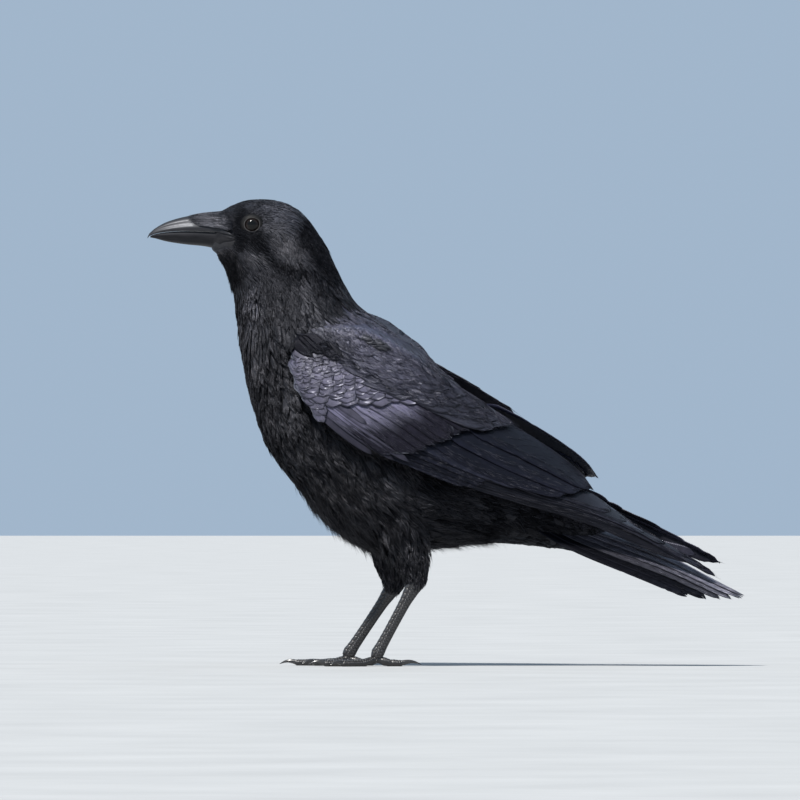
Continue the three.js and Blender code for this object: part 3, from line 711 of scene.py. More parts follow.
def plumage_paint(name, brown, blue, tips, roughness, sheen, barb=1.1, bumped=0.35, gloss=0.25,
                  edge=0.25):
    """Black feathers: per-feather tone, which also carries painted light and shade, a tint that runs from
    brown to blue, and barbs on each vane.
    """
    paint = Paint(name, Sheen_Weight=sheen, Sheen_Roughness=0.45, Sheen_Tint=(0.62, 0.68, 0.85, 1),
                  Specular_Tint=(0.82, 0.84, 1.0, 1))
    tone, along, tint, rim = (paint.attribute(key) for key in ("tone", "along", "tint", "rim"))
    paint.set("Specular IOR Level", paint.math("MULTIPLY_ADD", tone, 1.9 * gloss, 0.15 * gloss,
                                               clamp=True))
    colour = paint.blend(tint, brown, blue)
    colour = paint.blend(paint.math("MULTIPLY", along, tone, clamp=True), colour, tips)
    patches = paint.noise(260, 3)
    shade = paint.math("MULTIPLY_ADD", paint.math("MULTIPLY", tone, tone), 2.6, 0.25)
    # Rims darker by edge: painted shade in the gaps between feathers. A negative edge makes the rims lighter
    # instead: a painted highlight.
    shade = paint.math("MULTIPLY", shade, paint.math("MULTIPLY_ADD", rim, -edge, 1.0))
    shade = paint.math("MULTIPLY", shade, paint.spread(patches, 0.3, 0.7, 0.7, 1.25))
    paint.set("Base Color", paint.shaded(colour, shade))
    vane = paint.node("UVMap", uv_map="vane").outputs[0]
    split = paint.node("SeparateXYZ", ("Vector", vane))
    across = paint.math("ABSOLUTE", split.outputs[0])
    run = paint.math("MULTIPLY_ADD", across, -1.3, split.outputs[1])
    wobble = paint.noise(700, 2)
    phase = paint.math("MULTIPLY_ADD", wobble, 1.2, paint.math("MULTIPLY", run, 2 * math.pi / barb))
    barbs = paint.math("SINE", phase)
    fine = paint.noise(1500, 2)
    height = paint.math("MULTIPLY_ADD", barbs, 0.5, fine)
    paint.set("Normal", paint.bump(height, bumped, 0.0003))
    rough = paint.spread(fine, 0.3, 0.7, roughness - 0.07, roughness + 0.1)
    paint.set("Roughness", paint.math("MULTIPLY_ADD", barbs, 0.05, rough, clamp=True))
    return paint.material


def leg_paint():
    paint = Paint("leg_scales", Specular_IOR_Level=0.62)
    grain = paint.noise(420, 4)
    paint.set("Base Color", paint.ramp(grain, (0.3, (0.004, 0.0038, 0.0046)),
                                       (0.75, (0.012, 0.011, 0.012))))
    cells = paint.node("TexVoronoi", ("Scale", 950.0), feature="DISTANCE_TO_EDGE")
    paint.wire(paint.place(), cells.inputs["Vector"])
    seams = paint.spread(cells.outputs["Distance"], 0.0, 0.12, 0.0, 1.0)
    height = paint.math("MULTIPLY_ADD", paint.noise(1600, 3), 0.4, seams)
    paint.set("Normal", paint.bump(height, 0.22, 0.00012))
    paint.set("Roughness", paint.spread(grain, 0.3, 0.7, 0.34, 0.44))
    return paint.material


def scute_paint():
    """Dark horny scutes with a worn, glossy surface and paler edges."""
    paint = Paint("leg_scutes", Specular_IOR_Level=0.8)
    tone, rim = paint.attribute("tone"), paint.attribute("rim")
    grain = paint.noise(420, 4)
    horn = paint.ramp(grain, (0.3, (0.006, 0.0056, 0.0064)), (0.75, (0.016, 0.0145, 0.0155)))
    worn = paint.blend(paint.math("MULTIPLY", rim, 0.45), horn, (0.050, 0.047, 0.048))
    paint.set("Base Color", paint.blend(paint.math("MULTIPLY", tone, 0.35), worn,
                                        (0.022, 0.021, 0.023)))
    paint.set("Normal", paint.bump(paint.noise(1600, 3), 0.3, 0.0001))
    paint.set("Roughness", paint.spread(grain, 0.3, 0.7, 0.3, 0.42))
    return paint.material


def hide_paint():
    """The skin between the feathers, with the coat's marks and its painted light and shade."""
    paint = Paint("hide", Specular_IOR_Level=0.3, Sheen_Weight=0.15, Sheen_Tint=(0.6, 0.66, 0.8, 1))
    grain = paint.noise(520, 4)
    dark = paint.blend(paint.attribute("tint"), (0.0065, 0.0060, 0.0062), (0.0050, 0.0054, 0.0075))
    light = paint.blend(paint.attribute("tint"), (0.017, 0.0155, 0.0165), (0.014, 0.0145, 0.0205))
    grey = paint.blend(paint.spread(grain, 0.3, 0.75, 0, 1), dark, light)
    shade = paint.spread(paint.attribute("tone"), 0, 1, 0.6, 1.5)
    paint.set("Base Color", paint.shaded(grey, shade))
    strands = paint.noise(420, 4, paint.place((1, 3, 3)))
    paint.set("Normal", paint.bump(strands, 0.5, 0.0005))
    paint.set("Roughness", paint.spread(grain, 0.3, 0.7, 0.6, 0.8))
    return paint.material


def lid_paint():
    paint = Paint("eyelid", Specular_IOR_Level=0.15)
    grain = paint.noise(1500, 3)
    skin = paint.ramp(grain, (0.3, (0.003, 0.0028, 0.003)), (0.75, (0.009, 0.0085, 0.009)))
    rim = paint.ramp(grain, (0.3, (0.038, 0.037, 0.038)), (0.75, (0.066, 0.063, 0.063)))
    paint.set("Base Color", paint.blend(paint.attribute("rim"), skin, rim))
    paint.set("Normal", paint.bump(grain, 0.5, 0.0001))
    paint.set("Roughness", paint.spread(grain, 0.3, 0.7, 0.4, 0.6))
    return paint.material


def bill_paint(name, gloss):
    paint = Paint(name, Specular_IOR_Level=gloss, Specular_Tint=(0.86, 0.9, 1.0, 1))
    growth = paint.noise(300, 5, paint.place((0.35, 2.2, 2.2)), 0.6)
    paint.set("Base Color", paint.ramp(growth, (0.25, (0.005, 0.0048, 0.0056)),
                                       (0.6, (0.012, 0.0113, 0.0125)),
                                       (0.85, (0.026, 0.0235, 0.0238))))
    scratches = paint.noise(1700, 4, paint.place((0.16, 1.5, 1.5)), 0.65)
    flakes = paint.noise(700, 3)
    height = paint.math("MULTIPLY_ADD", scratches, 0.7, flakes)
    paint.set("Normal", paint.bump(height, 0.14, 0.0001))
    paint.set("Roughness", paint.spread(scratches, 0.3, 0.7, 0.4, 0.52))
    return paint.material


def claw_paint():
    paint = Paint("claw_horn", Specular_IOR_Level=0.6, Coat_Weight=0.3, Coat_Roughness=0.15)
    growth = paint.noise(900, 4, paint.place((0.5, 1.5, 1.5)))
    paint.set("Base Color", paint.ramp(growth, (0.3, (0.008, 0.008, 0.009)),
                                       (0.8, (0.03, 0.027, 0.026))))
    paint.set("Normal", paint.bump(growth, 0.2, 0.0001))
    paint.set("Roughness", paint.spread(growth, 0.3, 0.7, 0.2, 0.34))
    return paint.material


def eye_paint():
    """Pupil and dark brown iris by the distance from the eye's own axis."""
    paint = Paint("eye", Specular_IOR_Level=0.26, Roughness=0.1)
    out = paint.attribute("out")
    streaks = paint.noise(900, 4, paint.place((1, 0.2, 1)))
    iris = paint.ramp(streaks, (0.3, (0.003, 0.002, 0.0018)), (0.7, (0.009, 0.0052, 0.004)))
    paint.set("Base Color", paint.blend(paint.spread(out, 0.36, 0.42, 0, 1), (0.002, 0.002, 0.002),
                                        iris))
    return paint.material


HIDE_PAINT, LEG_PAINT, LID_PAINT = hide_paint(), leg_paint(), lid_paint()
BILL_PAINT, LOWER_BILL_PAINT = bill_paint("bill_horn", 0.42), bill_paint("lower_bill_horn", 0.24)
CLAW_PAINT, EYE_PAINT = claw_paint(), eye_paint()


# ---------------------------------------------------------------- feathers
PATCH = 0.003  # size of a feather's patch on the bake map
FALL = (0.32, 0.76)  # where along a greater covert it darkens towards the tip
VALUES = ("tone", "tint", "along", "rim")
FLIGHT_MOTTLE = 0.12  # spread of the tones of flight feathers
SHAFT_AT = -0.33  # where the shaft lies across a flight feather, from -1 to 1


def tract(points, tone, tint, spot, width, length, stops, up=1):
    """Feathers of one make: points (feather, row, column, 3) and what their map and colour need."""
    count, rows, columns = points.shape[:3]
    x = np.linspace(-1, 1, columns)
    stops = np.asarray(stops, float)
    shape = (count, rows, columns)
    across = x * np.broadcast_to(width, (count, rows))[..., None] / 2
    run = np.broadcast_to(length[:, None, None] * stops[None, :, None], shape)
    patch = spot[:, None, None, :] + PATCH * np.stack(
        [np.broadcast_to(x / 2, shape), np.broadcast_to(stops[None, :, None], shape)], -1)
    values = dict(tone=tone[:, None, None], tint=tint[:, None, None],
                  along=stops[None, :, None] ** 3,
                  rim=np.maximum(np.abs(x) ** 5, stops[:, None] ** 12)[None])
    quads, tris, shaded = vane_faces(count, rows, columns)
    part = dict(grid=points, stops=stops, length=length, spot=spot, up=up,
                of=dict(tone=tone, tint=tint), points=points.reshape(-1, 3), quads=quads, tris=tris,
                shaded=np.concatenate([shaded, np.zeros(len(tris), bool)]),
                vane=np.stack([across, run], -1).reshape(-1, 2), patch=patch.reshape(-1, 2))
    for key, value in values.items():
        part[key] = np.broadcast_to(value, shape).reshape(-1)
    return part


def some(vanes, chosen):
    """The chosen feathers of a tract, as roots for barbs."""
    part = {key: vanes[key][chosen] for key in ("grid", "length", "spot")}
    return dict(part, stops=vanes["stops"], up=vanes["up"],
                of={k: v[chosen] for k, v in vanes["of"].items()})


def needles(vanes, each, start=(0.35, 0.7), end=(0.85, 1.12), width=0.42, rise=0.3, spread=0.15,
            tone=0.12, brighter=0.12, droop=0.0, run=None, splay=0.0):
    """Fine barbs that spring from the vanes of a tract and run on past their tips, or for a short run."""
    grid, stops, length = vanes["grid"], vanes["stops"], vanes["length"]
    count, rows, columns = grid.shape[:3]
    which = np.repeat(np.arange(count), each)
    n = len(which)
    t0, t2 = rng.uniform(*start, n), rng.uniform(*end, n)
    x0 = rng.uniform(-0.95, 0.95, n)
    if run:
        t2 = np.minimum(t0 + rng.uniform(*run, n), 1.03)
    apart = splay * np.sign(x0 - SHAFT_AT) * rng.random(n)
    ahead = unit(grid[:, -1] - grid[:, -2]).mean(1)[which]

    def at(t, x):
        s = np.clip(place_in(stops, np.minimum(t, 1)), 0, rows - 1.0001)
        c = np.clip((x + 1) / 2 * (columns - 1), 0, columns - 1.0001)
        r, k = s.astype(int), c.astype(int)
        fr, fc = (s - r)[:, None], (c - k)[:, None]
        near = mix(grid[which, r, k], grid[which, r, k + 1], fc)
        far = mix(grid[which, r + 1, k], grid[which, r + 1, k + 1], fc)
        return mix(near, far, fr) + ahead * (np.maximum(t - 1, 0) * length[which])[:, None]

    root = at(t0, x0)
    middle = at(mix(t0, t2, 0.55), x0 * (1 + spread * 0.5) + apart * 0.6)
    tip = at(t2, x0 * (1 + spread) + rng.normal(0, 0.12 * (run is None), n) + apart)
    across = unit(grid[:, rows // 2, -1] - grid[:, rows // 2, 0])[which]
    up = unit(np.cross(across, unit(tip - root))) * vanes["up"]
    root = root - up * 0.1
    middle = middle + up * (rise * rng.uniform(0.3, 1.0, n))[:, None]
    tip = (tip + up * (rise * rng.uniform(-0.3, 1.9, n))[:, None]
           - np.array([0, 0, droop]) * rng.random((n, 1)))
    half = (width * rng.uniform(0.35, 0.65, n))[:, None]
    points = np.stack([root - across * half * 0.8, root + across * half * 0.8, root + up * half,
                       middle - across * half, middle + across * half, middle + up * half, tip], 1)
    at_each = 7 * np.arange(n)[:, None, None]
    quads = (np.array([[0, 1, 4, 3], [1, 2, 5, 4], [2, 0, 3, 5]])[None] + at_each).reshape(-1, 4)
    tris = (np.array([[3, 4, 6], [4, 5, 6], [5, 3, 6], [2, 1, 0]])[None] + at_each).reshape(-1, 3)
    if vanes["up"] < 0:
        quads, tris = quads[:, ::-1], tris[:, ::-1]
    shade = vanes["of"]["tone"][which] + rng.normal(brighter, tone, n)
    shade = np.clip(shade - vanes.get("fall", 0) * smooth(t0, *FALL), 0, 1)
    t = np.stack([t0] * 3 + [mix(t0, t2, 0.55)] * 3 + [t2], 1)
    u = np.stack([-half[:, 0], half[:, 0], 0 * t0, -half[:, 0], half[:, 0], 0 * t0, 0 * t0], 1)
    spot = vanes["spot"][which][:, None] + PATCH * np.stack([u / 2 + x0[:, None] / 3, t], -1)
    one = np.ones((1, 7))
    return dict(points=points.reshape(-1, 3), quads=quads, tris=tris,
                shaded=np.concatenate([np.ones(len(quads), bool),
                                       np.tile([True, True, True, False], n)]),
                vane=np.stack([u, t * length[which][:, None]], -1).reshape(-1, 2),
                patch=spot.reshape(-1, 2), tone=(shade[:, None] * one).reshape(-1),
                tint=(vanes["of"]["tint"][which][:, None] * one).reshape(-1),
                along=np.clip(t, 0, 1).reshape(-1) ** 2, rim=np.zeros(7 * n))


def with_barbs(parts, *each, **looks):
    """Groups of vanes and the fine barbs on each group, as needles takes them."""
    return parts + [needles(part, *each, **looks) for part in parts]


def new_coat(name, parts, paint):
    """One object of many closed vanes, plates and barbs."""
    points, quads, tris = joined([(part["points"],
                                   *facing_out(part["points"], [part["quads"], part["tris"]]))
                                  for part in parts])
    on_quads = [part["shaded"][:len(part["quads"])] for part in parts]
    on_tris = [part["shaded"][len(part["quads"]):] for part in parts]

    def all_of(key):
        return np.concatenate([part[key] for part in parts])

    piece = new_object(name, points, [quads, tris], [paint], np.concatenate(on_quads + on_tris),
                       maps={"vane": all_of("vane"), "OFBake": all_of("patch")},
                       values={key: all_of(key) for key in VALUES})
    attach(piece, "root")
    return piece


STOPS = {4: [0, 0.38, 0.74, 1.0], 5: [0, 0.3, 0.58, 0.84, 1.0], 6: [0, 0.24, 0.48, 0.7, 0.88, 1.0],
         7: [0, 0.2, 0.4, 0.6, 0.77, 0.9, 1.0]}
SHAPES = {  # half widths along a feather, as shares
    "lance": ([0, 0.2, 0.5, 0.8, 1], [0.5, 0.95, 1.0, 0.6, 0.12]),
    "round": ([0, 0.2, 0.5, 0.75, 0.9, 1], [0.35, 0.8, 1.0, 0.92, 0.66, 0.28]),
    "hair": ([0, 0.3, 0.7, 1], [0.8, 1.0, 0.75, 0.15]),
}


# Lighter and darker places of the plumage, partly marks and partly painted light and shade: middle [x, z],
# half sizes, turn in degrees, tone, tint.
MARKS_AND_PAINTED_LIGHT = [
    ((-78.5, 273.0), (14.0, 9.0), -33, 0.66, -0.5),  # ear coverts: browner, and lighter by painted sheen
    ((-95.0, 262.5), (8.0, 5.0), -20, 0.46, -0.3),  # cheek below the gape
    ((-90.0, 272.5), (5.6, 8.0), 12, -0.75, 0.0),  # below and behind the eye
    ((-103.0, 280.0), (4.4, 12.5), 0, -0.65, 0.1),  # lores
    ((-56.5, 273.0), (9.0, 23.0), 25, -0.62, 0.2),  # nape, behind the ear coverts
    ((-75.0, 259.5), (13.0, 3.0), -8, -0.55, 0.0),  # below the ear coverts: painted shadow of their edge
    ((-110.0, 257.0), (6.0, 8.0), 0, -0.3, 0.0),  # chin
    ((-77.0, 288.0), (10.0, 9.0), 0, 0.64, 0.1),  # rear crown: painted highlight
    ((-93.0, 293.0), (8.0, 4.0), 0, 0.1, 0.4),  # forehead: painted bluish highlight
    ((-74.0, 236.0), (14.0, 15.0), 0, 0.14, -0.25),  # side of the neck
    ((-94.0, 234.0), (7.0, 16.0), 0, 0.40, 0.3),  # throat hackles: painted highlight
    ((-107.0, 246.0), (4.5, 16.0), 10, -0.34, 0.1),  # front of the throat: painted shade
    ((-25.0, 206.0), (38.0, 13.0), -33, 0.42, 0.6),  # mantle: painted bluish sheen
    ((-88.0, 150.0), (12.0, 30.0), 25, -0.32, 0.0),  # lower front of the breast: painted shade
    ((50.0, 114.0), (58.0, 10.0), -22, -0.36, 0.1),  # in the shade of the flight feathers
    ((-54.0, 206.0), (19.0, 10.5), -14, -0.42, -0.2),  # in the shade of the mantle's edge
    ((-32.0, 122.0), (26.0, 14.0), -40, 0.06, -0.2),  # flank
    ((-2.0, 90.0), (17.0, 9.0), 0, -0.16, 0.0),  # top of the thigh
    ((60.0, 90.0), (60.0, 16.0), -12, -0.34, 0.1),  # under the tail
]


def marks_and_painted_light(points):
    """Tone and tint that the marks and the painted light and shade add at points of the bird."""
    tone, tint = np.zeros(len(points)), np.zeros(len(points))
    for middle, size, turn, more_tone, more_tint in MARKS_AND_PAINTED_LIGHT:
        c, k = math.cos(math.radians(turn)), math.sin(math.radians(turn))
        dx, dz = points[:, 0] - middle[0], points[:, 2] - middle[1]
        x, z = (dx * c + dz * k) / size[0], (dz * c - dx * k) / size[1]
        share = np.exp(-(x * x + z * z) ** 1.5)
        tone += more_tone * share
        tint += more_tint * share
    return tone, tint


def clumps(start, size):
    """Three random values shared by the roots that lie round the same tuft."""
    seeds = start[rng.permutation(len(start))]
    tree = KDTree(len(seeds))
    kept = []
    for p in seeds:
        if not kept or tree.find(p)[2] > size:
            tree.insert(p, len(kept))
            tree.balance()
            kept.append(p)
    values = rng.normal(0, 1, (len(kept), 3))
    return values[[tree.find(p)[1] for p in start]]


def body_vanes(face, start, length, width, depth, rows, columns, shape, tint, fray=0.1, camber=0.2,
               wander=0.1, roll=0.08, lift=(0.4, 0.9), pleat=0.0, tuck=None, turned=0.0, even=0.14,
               clump=0.0, mottle=1.0, base=0.45, level=(0.85, 1.1)):
    """Vanes along the hide: each rises from its root to the coat's depth at its tip."""
    count = len(start)
    tuft = clumps(start, clump) if clump else np.zeros((count, 3))
    turned = turned + 0.14 * tuft[:, 0]
    depth = depth * (1 + 0.12 * mottle * np.clip(tuft[:, 1], -1.5, 2))
    stops = np.array(STOPS[rows])
    length = length * rng.uniform(1 - even, 1 + even, count)
    width = width * rng.uniform(0.85, 1.15, count)
    centres, normals = marched(face, start, length, stops, turned + rng.normal(0, wander, count))
    along = unit(np.gradient(centres, axis=1))
    normals = unit(normals - along * dot(normals, along))
    side = np.cross(along, normals)
    angle = rng.normal(0, roll, count)[:, None, None]
    side = side * np.cos(angle) + normals * np.sin(angle)
    x = np.linspace(-1, 1, columns)
    profile = np.interp(stops, *SHAPES[shape])
    half = width[:, None] / 2 * profile
    rise = (depth[:, None] * (lift[0] + (lift[1] - lift[0]) * stops ** 0.8)
            * rng.uniform(*level, (count, 1)))
    arch = camber * half[..., None] * (1 - x ** 2)
    arch = arch + pleat * rng.uniform(-1, 1, (count, 1, columns)) * (np.abs(x) < 0.99)
    points = (centres[:, :, None] + side[:, :, None] * (half[..., None] * x)[..., None]
              + normals[:, :, None] * (rise[..., None] + arch)[..., None])
    uneven = rng.normal(0, fray, (count, 1, columns)) * length[:, None, None]
    round_tip = -0.16 * length[:, None, None] * np.abs(x) ** 2 * (shape == "round")
    slide = (uneven + round_tip) * smooth(stops, 0.55, 1.0)[None, :, None]
    points = points + along[:, :, None] * slide[..., None]
    if tuck is not None:
        points = tuck(points.reshape(-1, 3)).reshape(points.shape)
    more_tone, more_tint = marks_and_painted_light(start)
    tone = base + mottle * (rng.normal(0, 0.09, count) + 0.13 * tuft[:, 2]) + more_tone
    return tract(points, np.clip(tone, 0, 1), np.clip(tint + more_tint, 0, 1), spot_of(face),
                 width[:, None] * profile, length, stops)


def spot_of(face):
    """Where a root lies on the bake map: the hide unrolled by station and turn, thighs beside it."""
    v = HIDE_FACES[face, 0]
    u, turn, tag = STATION[v], TURN[v], TAG[v]
    body = np.stack([0.02 + 0.96 * u / BODY_END, 0.3 + 0.27 * turn / math.pi], -1)
    leg = np.stack([0.02 + 0.3 * u + 0.4 * (tag - 1), 0.64 + 0.3 * turn / (2 * math.pi)], -1)
    return np.where(tag[:, None] > 0, leg, body)


def wing_lift(side, p):
    """How far points are above the wing's surface, with its steepness and slant there."""
    a, b = wing_place(side, p)
    y, steep, lean = wing_roof(on_wing(a), b)
    return (np.abs(p[:, 1]) - y) / lean, steep, lean


def beside_wings(p, margin):
    """For each wing: its side, which points are inside its outline or nearly so, and how far inside."""
    for side in (-1, 1):
        inside = np.where(p[:, 1] * side > 0, under_wing(p, 0), FAR_OUTSIDE)
        hit = inside > -margin
        if hit.any():
            yield side, hit, inside[hit]


def tucked(p):
    """Feathers of the body pass under the wings' edges."""
    p, margin = p.copy(), 4
    for side, hit, inside in beside_wings(p, margin):
        q = p[hit]
        lift, _, lean = wing_lift(side, q)
        a = wing_place(side, q)[0]
        floor = mix(-3.5, -5.0, smooth(a, 55, 90))
        edge = mix(1.5, -1.6, smooth(a, 8, 26) * (1 - smooth(a, 120, 150)))
        most = mix(edge, floor, smooth(inside, -margin, 3.0))
        p[hit, 1] = q[:, 1] - side * np.maximum(lift - most, 0) * lean
    return p


def over_wing(p):
    """Feathers of the back pass over the wings' upper edges in front, and under them behind."""
    p, margin = p.copy(), 6

    def behind(side, q):
        return smooth(wing_place(side, q)[0], 66, 88)

    for side, hit, inside in beside_wings(p, margin):
        q = p[hit]
        lift, steep, lean = wing_lift(side, q)
        least = mix(-2.0, 2.8, smooth(inside, -margin, 0))
        short = np.clip(least - lift, 0, 6) * (1 - behind(side, q))
        pitch = math.radians(WING_SLOPE)
        up = short * steep / lean
        p[hit] = q + np.stack([up * math.sin(pitch), side * short / lean, up * math.cos(pitch)], -1)
    share = np.maximum(*(behind(side, p) * (p[:, 1] * side > 0) for side in (-1, 1)))
    return mix(p, tucked(p), share[:, None])


# Plumage of the head, neck, trunk and rump by station: gap between roots, length and width.
TRACT_U = [0, 1, 2.5, 4, 5.5, 7, 9, 11, 14, 17, 19, 21]
TRACT_GAP = [0.5, 0.54, 0.62, 0.74, 1.05, 1.5, 2.1, 2.3, 2.5, 2.6, 2.7, 2.3]
TRACT_LENGTH = [2.7, 3.1, 4.3, 5.8, 8.5, 11, 13.5, 15, 16.5, 17, 16, 12]
TRACT_WIDTH = [0.62, 0.68, 0.85, 1.05, 1.4, 1.9, 3.4, 4.6, 5.4, 5.8, 6.8, 5.6]
TRACT_TINT = [0.6, 0.6, 0.6, 0.55, 0.55, 0.5, 0.45, 0.4, 0.3, 0.25, 0.4, 0.5]
THIGH_GAP, THIGH_LENGTH, THIGH_WIDTH = 1.35, 9.0, 1.9
BILL_BASE, GAPE_LOW = -117.5, 262  # no feathers ahead of here and above here: the bill is there
HEAD_END, NECK_END, BREAST_END, BELLY_END = 4.8, 9.4, 13.2, 17.8  # stations along the body
EYE_BARE = 5.2  # how near the eye's axis feathers start
# The bare corners of the mouth: x, low, high.
GAPE = [(-118, 266.5, 281), (-113, 268.2, 279.8), (-109, 268.3, 276.8), (-106, 272.5, 274.5)]


def on_gape(points):
    """The bare horny skin behind the bill, round the corners of the mouth."""
    x, low, high = np.array(GAPE, float).T
    inside = (points[:, 0] < x[-1]) & (points[:, 2] > np.interp(points[:, 0], x, low))
    return inside & (points[:, 2] < np.interp(points[:, 0], x, high)) & (np.abs(points[:, 1]) > 5)


def plumage():
    """Strews the whole hide once, then dresses each region."""
    body = TAG == 0
    gap = np.where(body, np.interp(STATION, TRACT_U, TRACT_GAP), THIGH_GAP)
    to_eye = np.linalg.norm((np.abs(HIDE) - [0, EYE_Y + 5, 0] - [-EYE_X, 0, EYE_Z])
                            * [1, 0.5, 1.08], axis=1)
    gap = gap * mix(0.75, 1, smooth(to_eye, 6, 16))
    hidden = under_wing(HIDE, 9) > 0
    in_bill = (HIDE[:, 0] < BILL_BASE) & (HIDE[:, 2] > GAPE_LOW)
    wanted = ~hidden & ~in_bill & (to_eye > EYE_BARE) & ~on_gape(HIDE)
    ankle = (TAG > 0) & (STATION > 0.985)
    face, start = scatter(gap, wanted & ~ankle)
    v = HIDE_FACES[face, 0]
    u, turn, tag = STATION[v], TURN[v], TAG[v]
    top, low = np.cos(turn), -np.cos(turn)
    length = np.interp(u, TRACT_U, TRACT_LENGTH)
    width = np.interp(u, TRACT_U, TRACT_WIDTH)
    depth = through(COAT_DEPTH, u)
    tint = np.interp(u, TRACT_U, TRACT_TINT) + 0.25 * top
    near_eye = to_eye[v]
    length = length * mix(0.55, 1, smooth(near_eye, 6, 18))
    width = width * mix(0.75, 1, smooth(near_eye, 6, 18))
    on_body = tag == 0

    def dress(chosen, rows, columns, shape, **looks):
        """Vanes on the chosen roots. A length, width or depth given here is a factor."""
        part = dict(length=length[chosen], width=width[chosen], depth=depth[chosen],
                    tint=tint[chosen])
        for key in ("length", "width", "depth"):
            part[key] = part[key] * looks.pop(key, 1.0)
        return body_vanes(face[chosen], start[chosen], rows=rows, columns=columns, shape=shape,
                          **part, **looks)

    on_head = on_body & (u < HEAD_END)
    head = dress(on_head, 4, 3, "lance", fray=0.05, wander=0.1, roll=0.06, lift=(0.55, 0.9),
                 clump=3.5, mottle=0.8, base=0.37)
    chin = some(head, (low[on_head] > 0.55) & (u[on_head] < 3.2))
    beard = needles(chin, 3, (0.4, 0.8), (1.2, 2.2), width=0.2, rise=0.9, tone=0.1)
    new_coat("plumage_head", [head, beard], FEATHER_PAINT)
    neck = on_body & (u >= HEAD_END) & (u < NECK_END)
    throat = neck & (low > 0.35)
    neck = neck & ~throat
    hackles = dress(throat, 6, 3, "lance", fray=0.07, width=0.9, length=1.2, wander=0.14,
                    roll=0.15, clump=4.5, mottle=1.3, base=0.36)
    new_coat("plumage_throat", with_barbs([hackles], 6, width=0.28, rise=0.2, brighter=0.05),
             FEATHER_PAINT)
    nape = dress(neck, 5, 3, "lance", fray=0.05, width=1.7, length=1.15, roll=0.01, wander=0.06,
                 lift=(0.66, 0.9), camber=0.0, clump=7.0, mottle=0.5, base=0.30, level=(0.97, 1.03))
    new_coat("plumage_neck", with_barbs([nape], 7, (0.1, 0.6), (0.6, 1.15), width=0.3, rise=0.06,
                                        tone=0.08, brighter=0.06), FEATHER_PAINT)
    back = on_body & (u >= NECK_END) & (top > 0.25)
    breast = on_body & (u >= NECK_END) & (u < BREAST_END) & ~back
    belly = on_body & (u >= BREAST_END) & (u < BELLY_END) & ~back
    rump = on_body & (u >= BELLY_END) & ~back
    loose = dict(fray=0.1, wander=0.16, roll=0.12, tuck=tucked, pleat=0.1, clump=8.5, base=0.41)
    vanes = dress(breast, 6, 5, "round", **loose)
    new_coat("plumage_breast", [vanes], FEATHER_PAINT)
    new_coat("down_breast", [needles(vanes, 15, end=(0.8, 1.18), width=0.4, rise=0.45)],
             FEATHER_PAINT)
    vanes = dress(belly, 6, 5, "round", **loose)
    new_coat("plumage_belly", [vanes], FEATHER_PAINT)
    hanging = some(vanes, low[belly] > 0.55)
    new_coat("down_belly", [needles(vanes, 8, end=(0.85, 1.25), width=0.5, rise=0.6, droop=0.8),
                            needles(hanging, 6, (0.5, 0.8), (1.0, 1.6), width=0.34, rise=1.4,
                                    droop=4.0)],
             FEATHER_PAINT)
    vanes = dress(rump, 7, 7, "round", fray=0.03, width=1.3, camber=0.14, tuck=tucked, clump=14.0)
    new_coat("plumage_rump", with_barbs([vanes], 5, end=(0.7, 1.02), width=0.36, rise=0.12),
             FEATHER_PAINT)
    vanes = dress(back, 6, 5, "round", fray=0.06, pleat=0.02, camber=0.04, wander=0.05, roll=0.02,
                  lift=(0.62, 0.9), tuck=over_wing, mottle=0.6, level=(0.95, 1.04))
    new_coat("plumage_back", with_barbs([vanes], 8, end=(0.8, 1.1), width=0.3, rise=0.05,
                                        tone=0.07, brighter=0.04), SCAPULAR_PAINT)
    thigh = tag > 0
    size = np.ones(thigh.sum())
    vanes = body_vanes(face[thigh], start[thigh], THIGH_LENGTH * size, THIGH_WIDTH * size,
                       THIGH_COAT * size, 5, 3, "lance", 0.12 * size, fray=0.1, wander=0.2,
                       roll=0.2, lift=(0.2, 0.9), clump=5.0)
    new_coat("plumage_thighs", with_barbs([vanes], 4, end=(0.8, 1.2), width=0.36, rise=0.4),
             FEATHER_PAINT)


BRISTLE_PAINT = plumage_paint("bill_bristles", (0.0125, 0.0120, 0.0128), (0.0120, 0.0122, 0.0150),
                              (0.036, 0.035, 0.038), 0.38, 0.08, gloss=0.5)
SCAPULAR_PAINT = plumage_paint("scapular_feathers", (0.0085, 0.0078, 0.0082),
                               (0.0128, 0.0128, 0.0230), (0.028, 0.026, 0.036), 0.42, 0.08,
                               gloss=0.42)
FEATHER_PAINT = plumage_paint("body_feathers", (0.0075, 0.0068, 0.0066), (0.0054, 0.0060, 0.0096),
                              (0.020, 0.019, 0.020), 0.44, 0.05, gloss=0.28)
plumage()


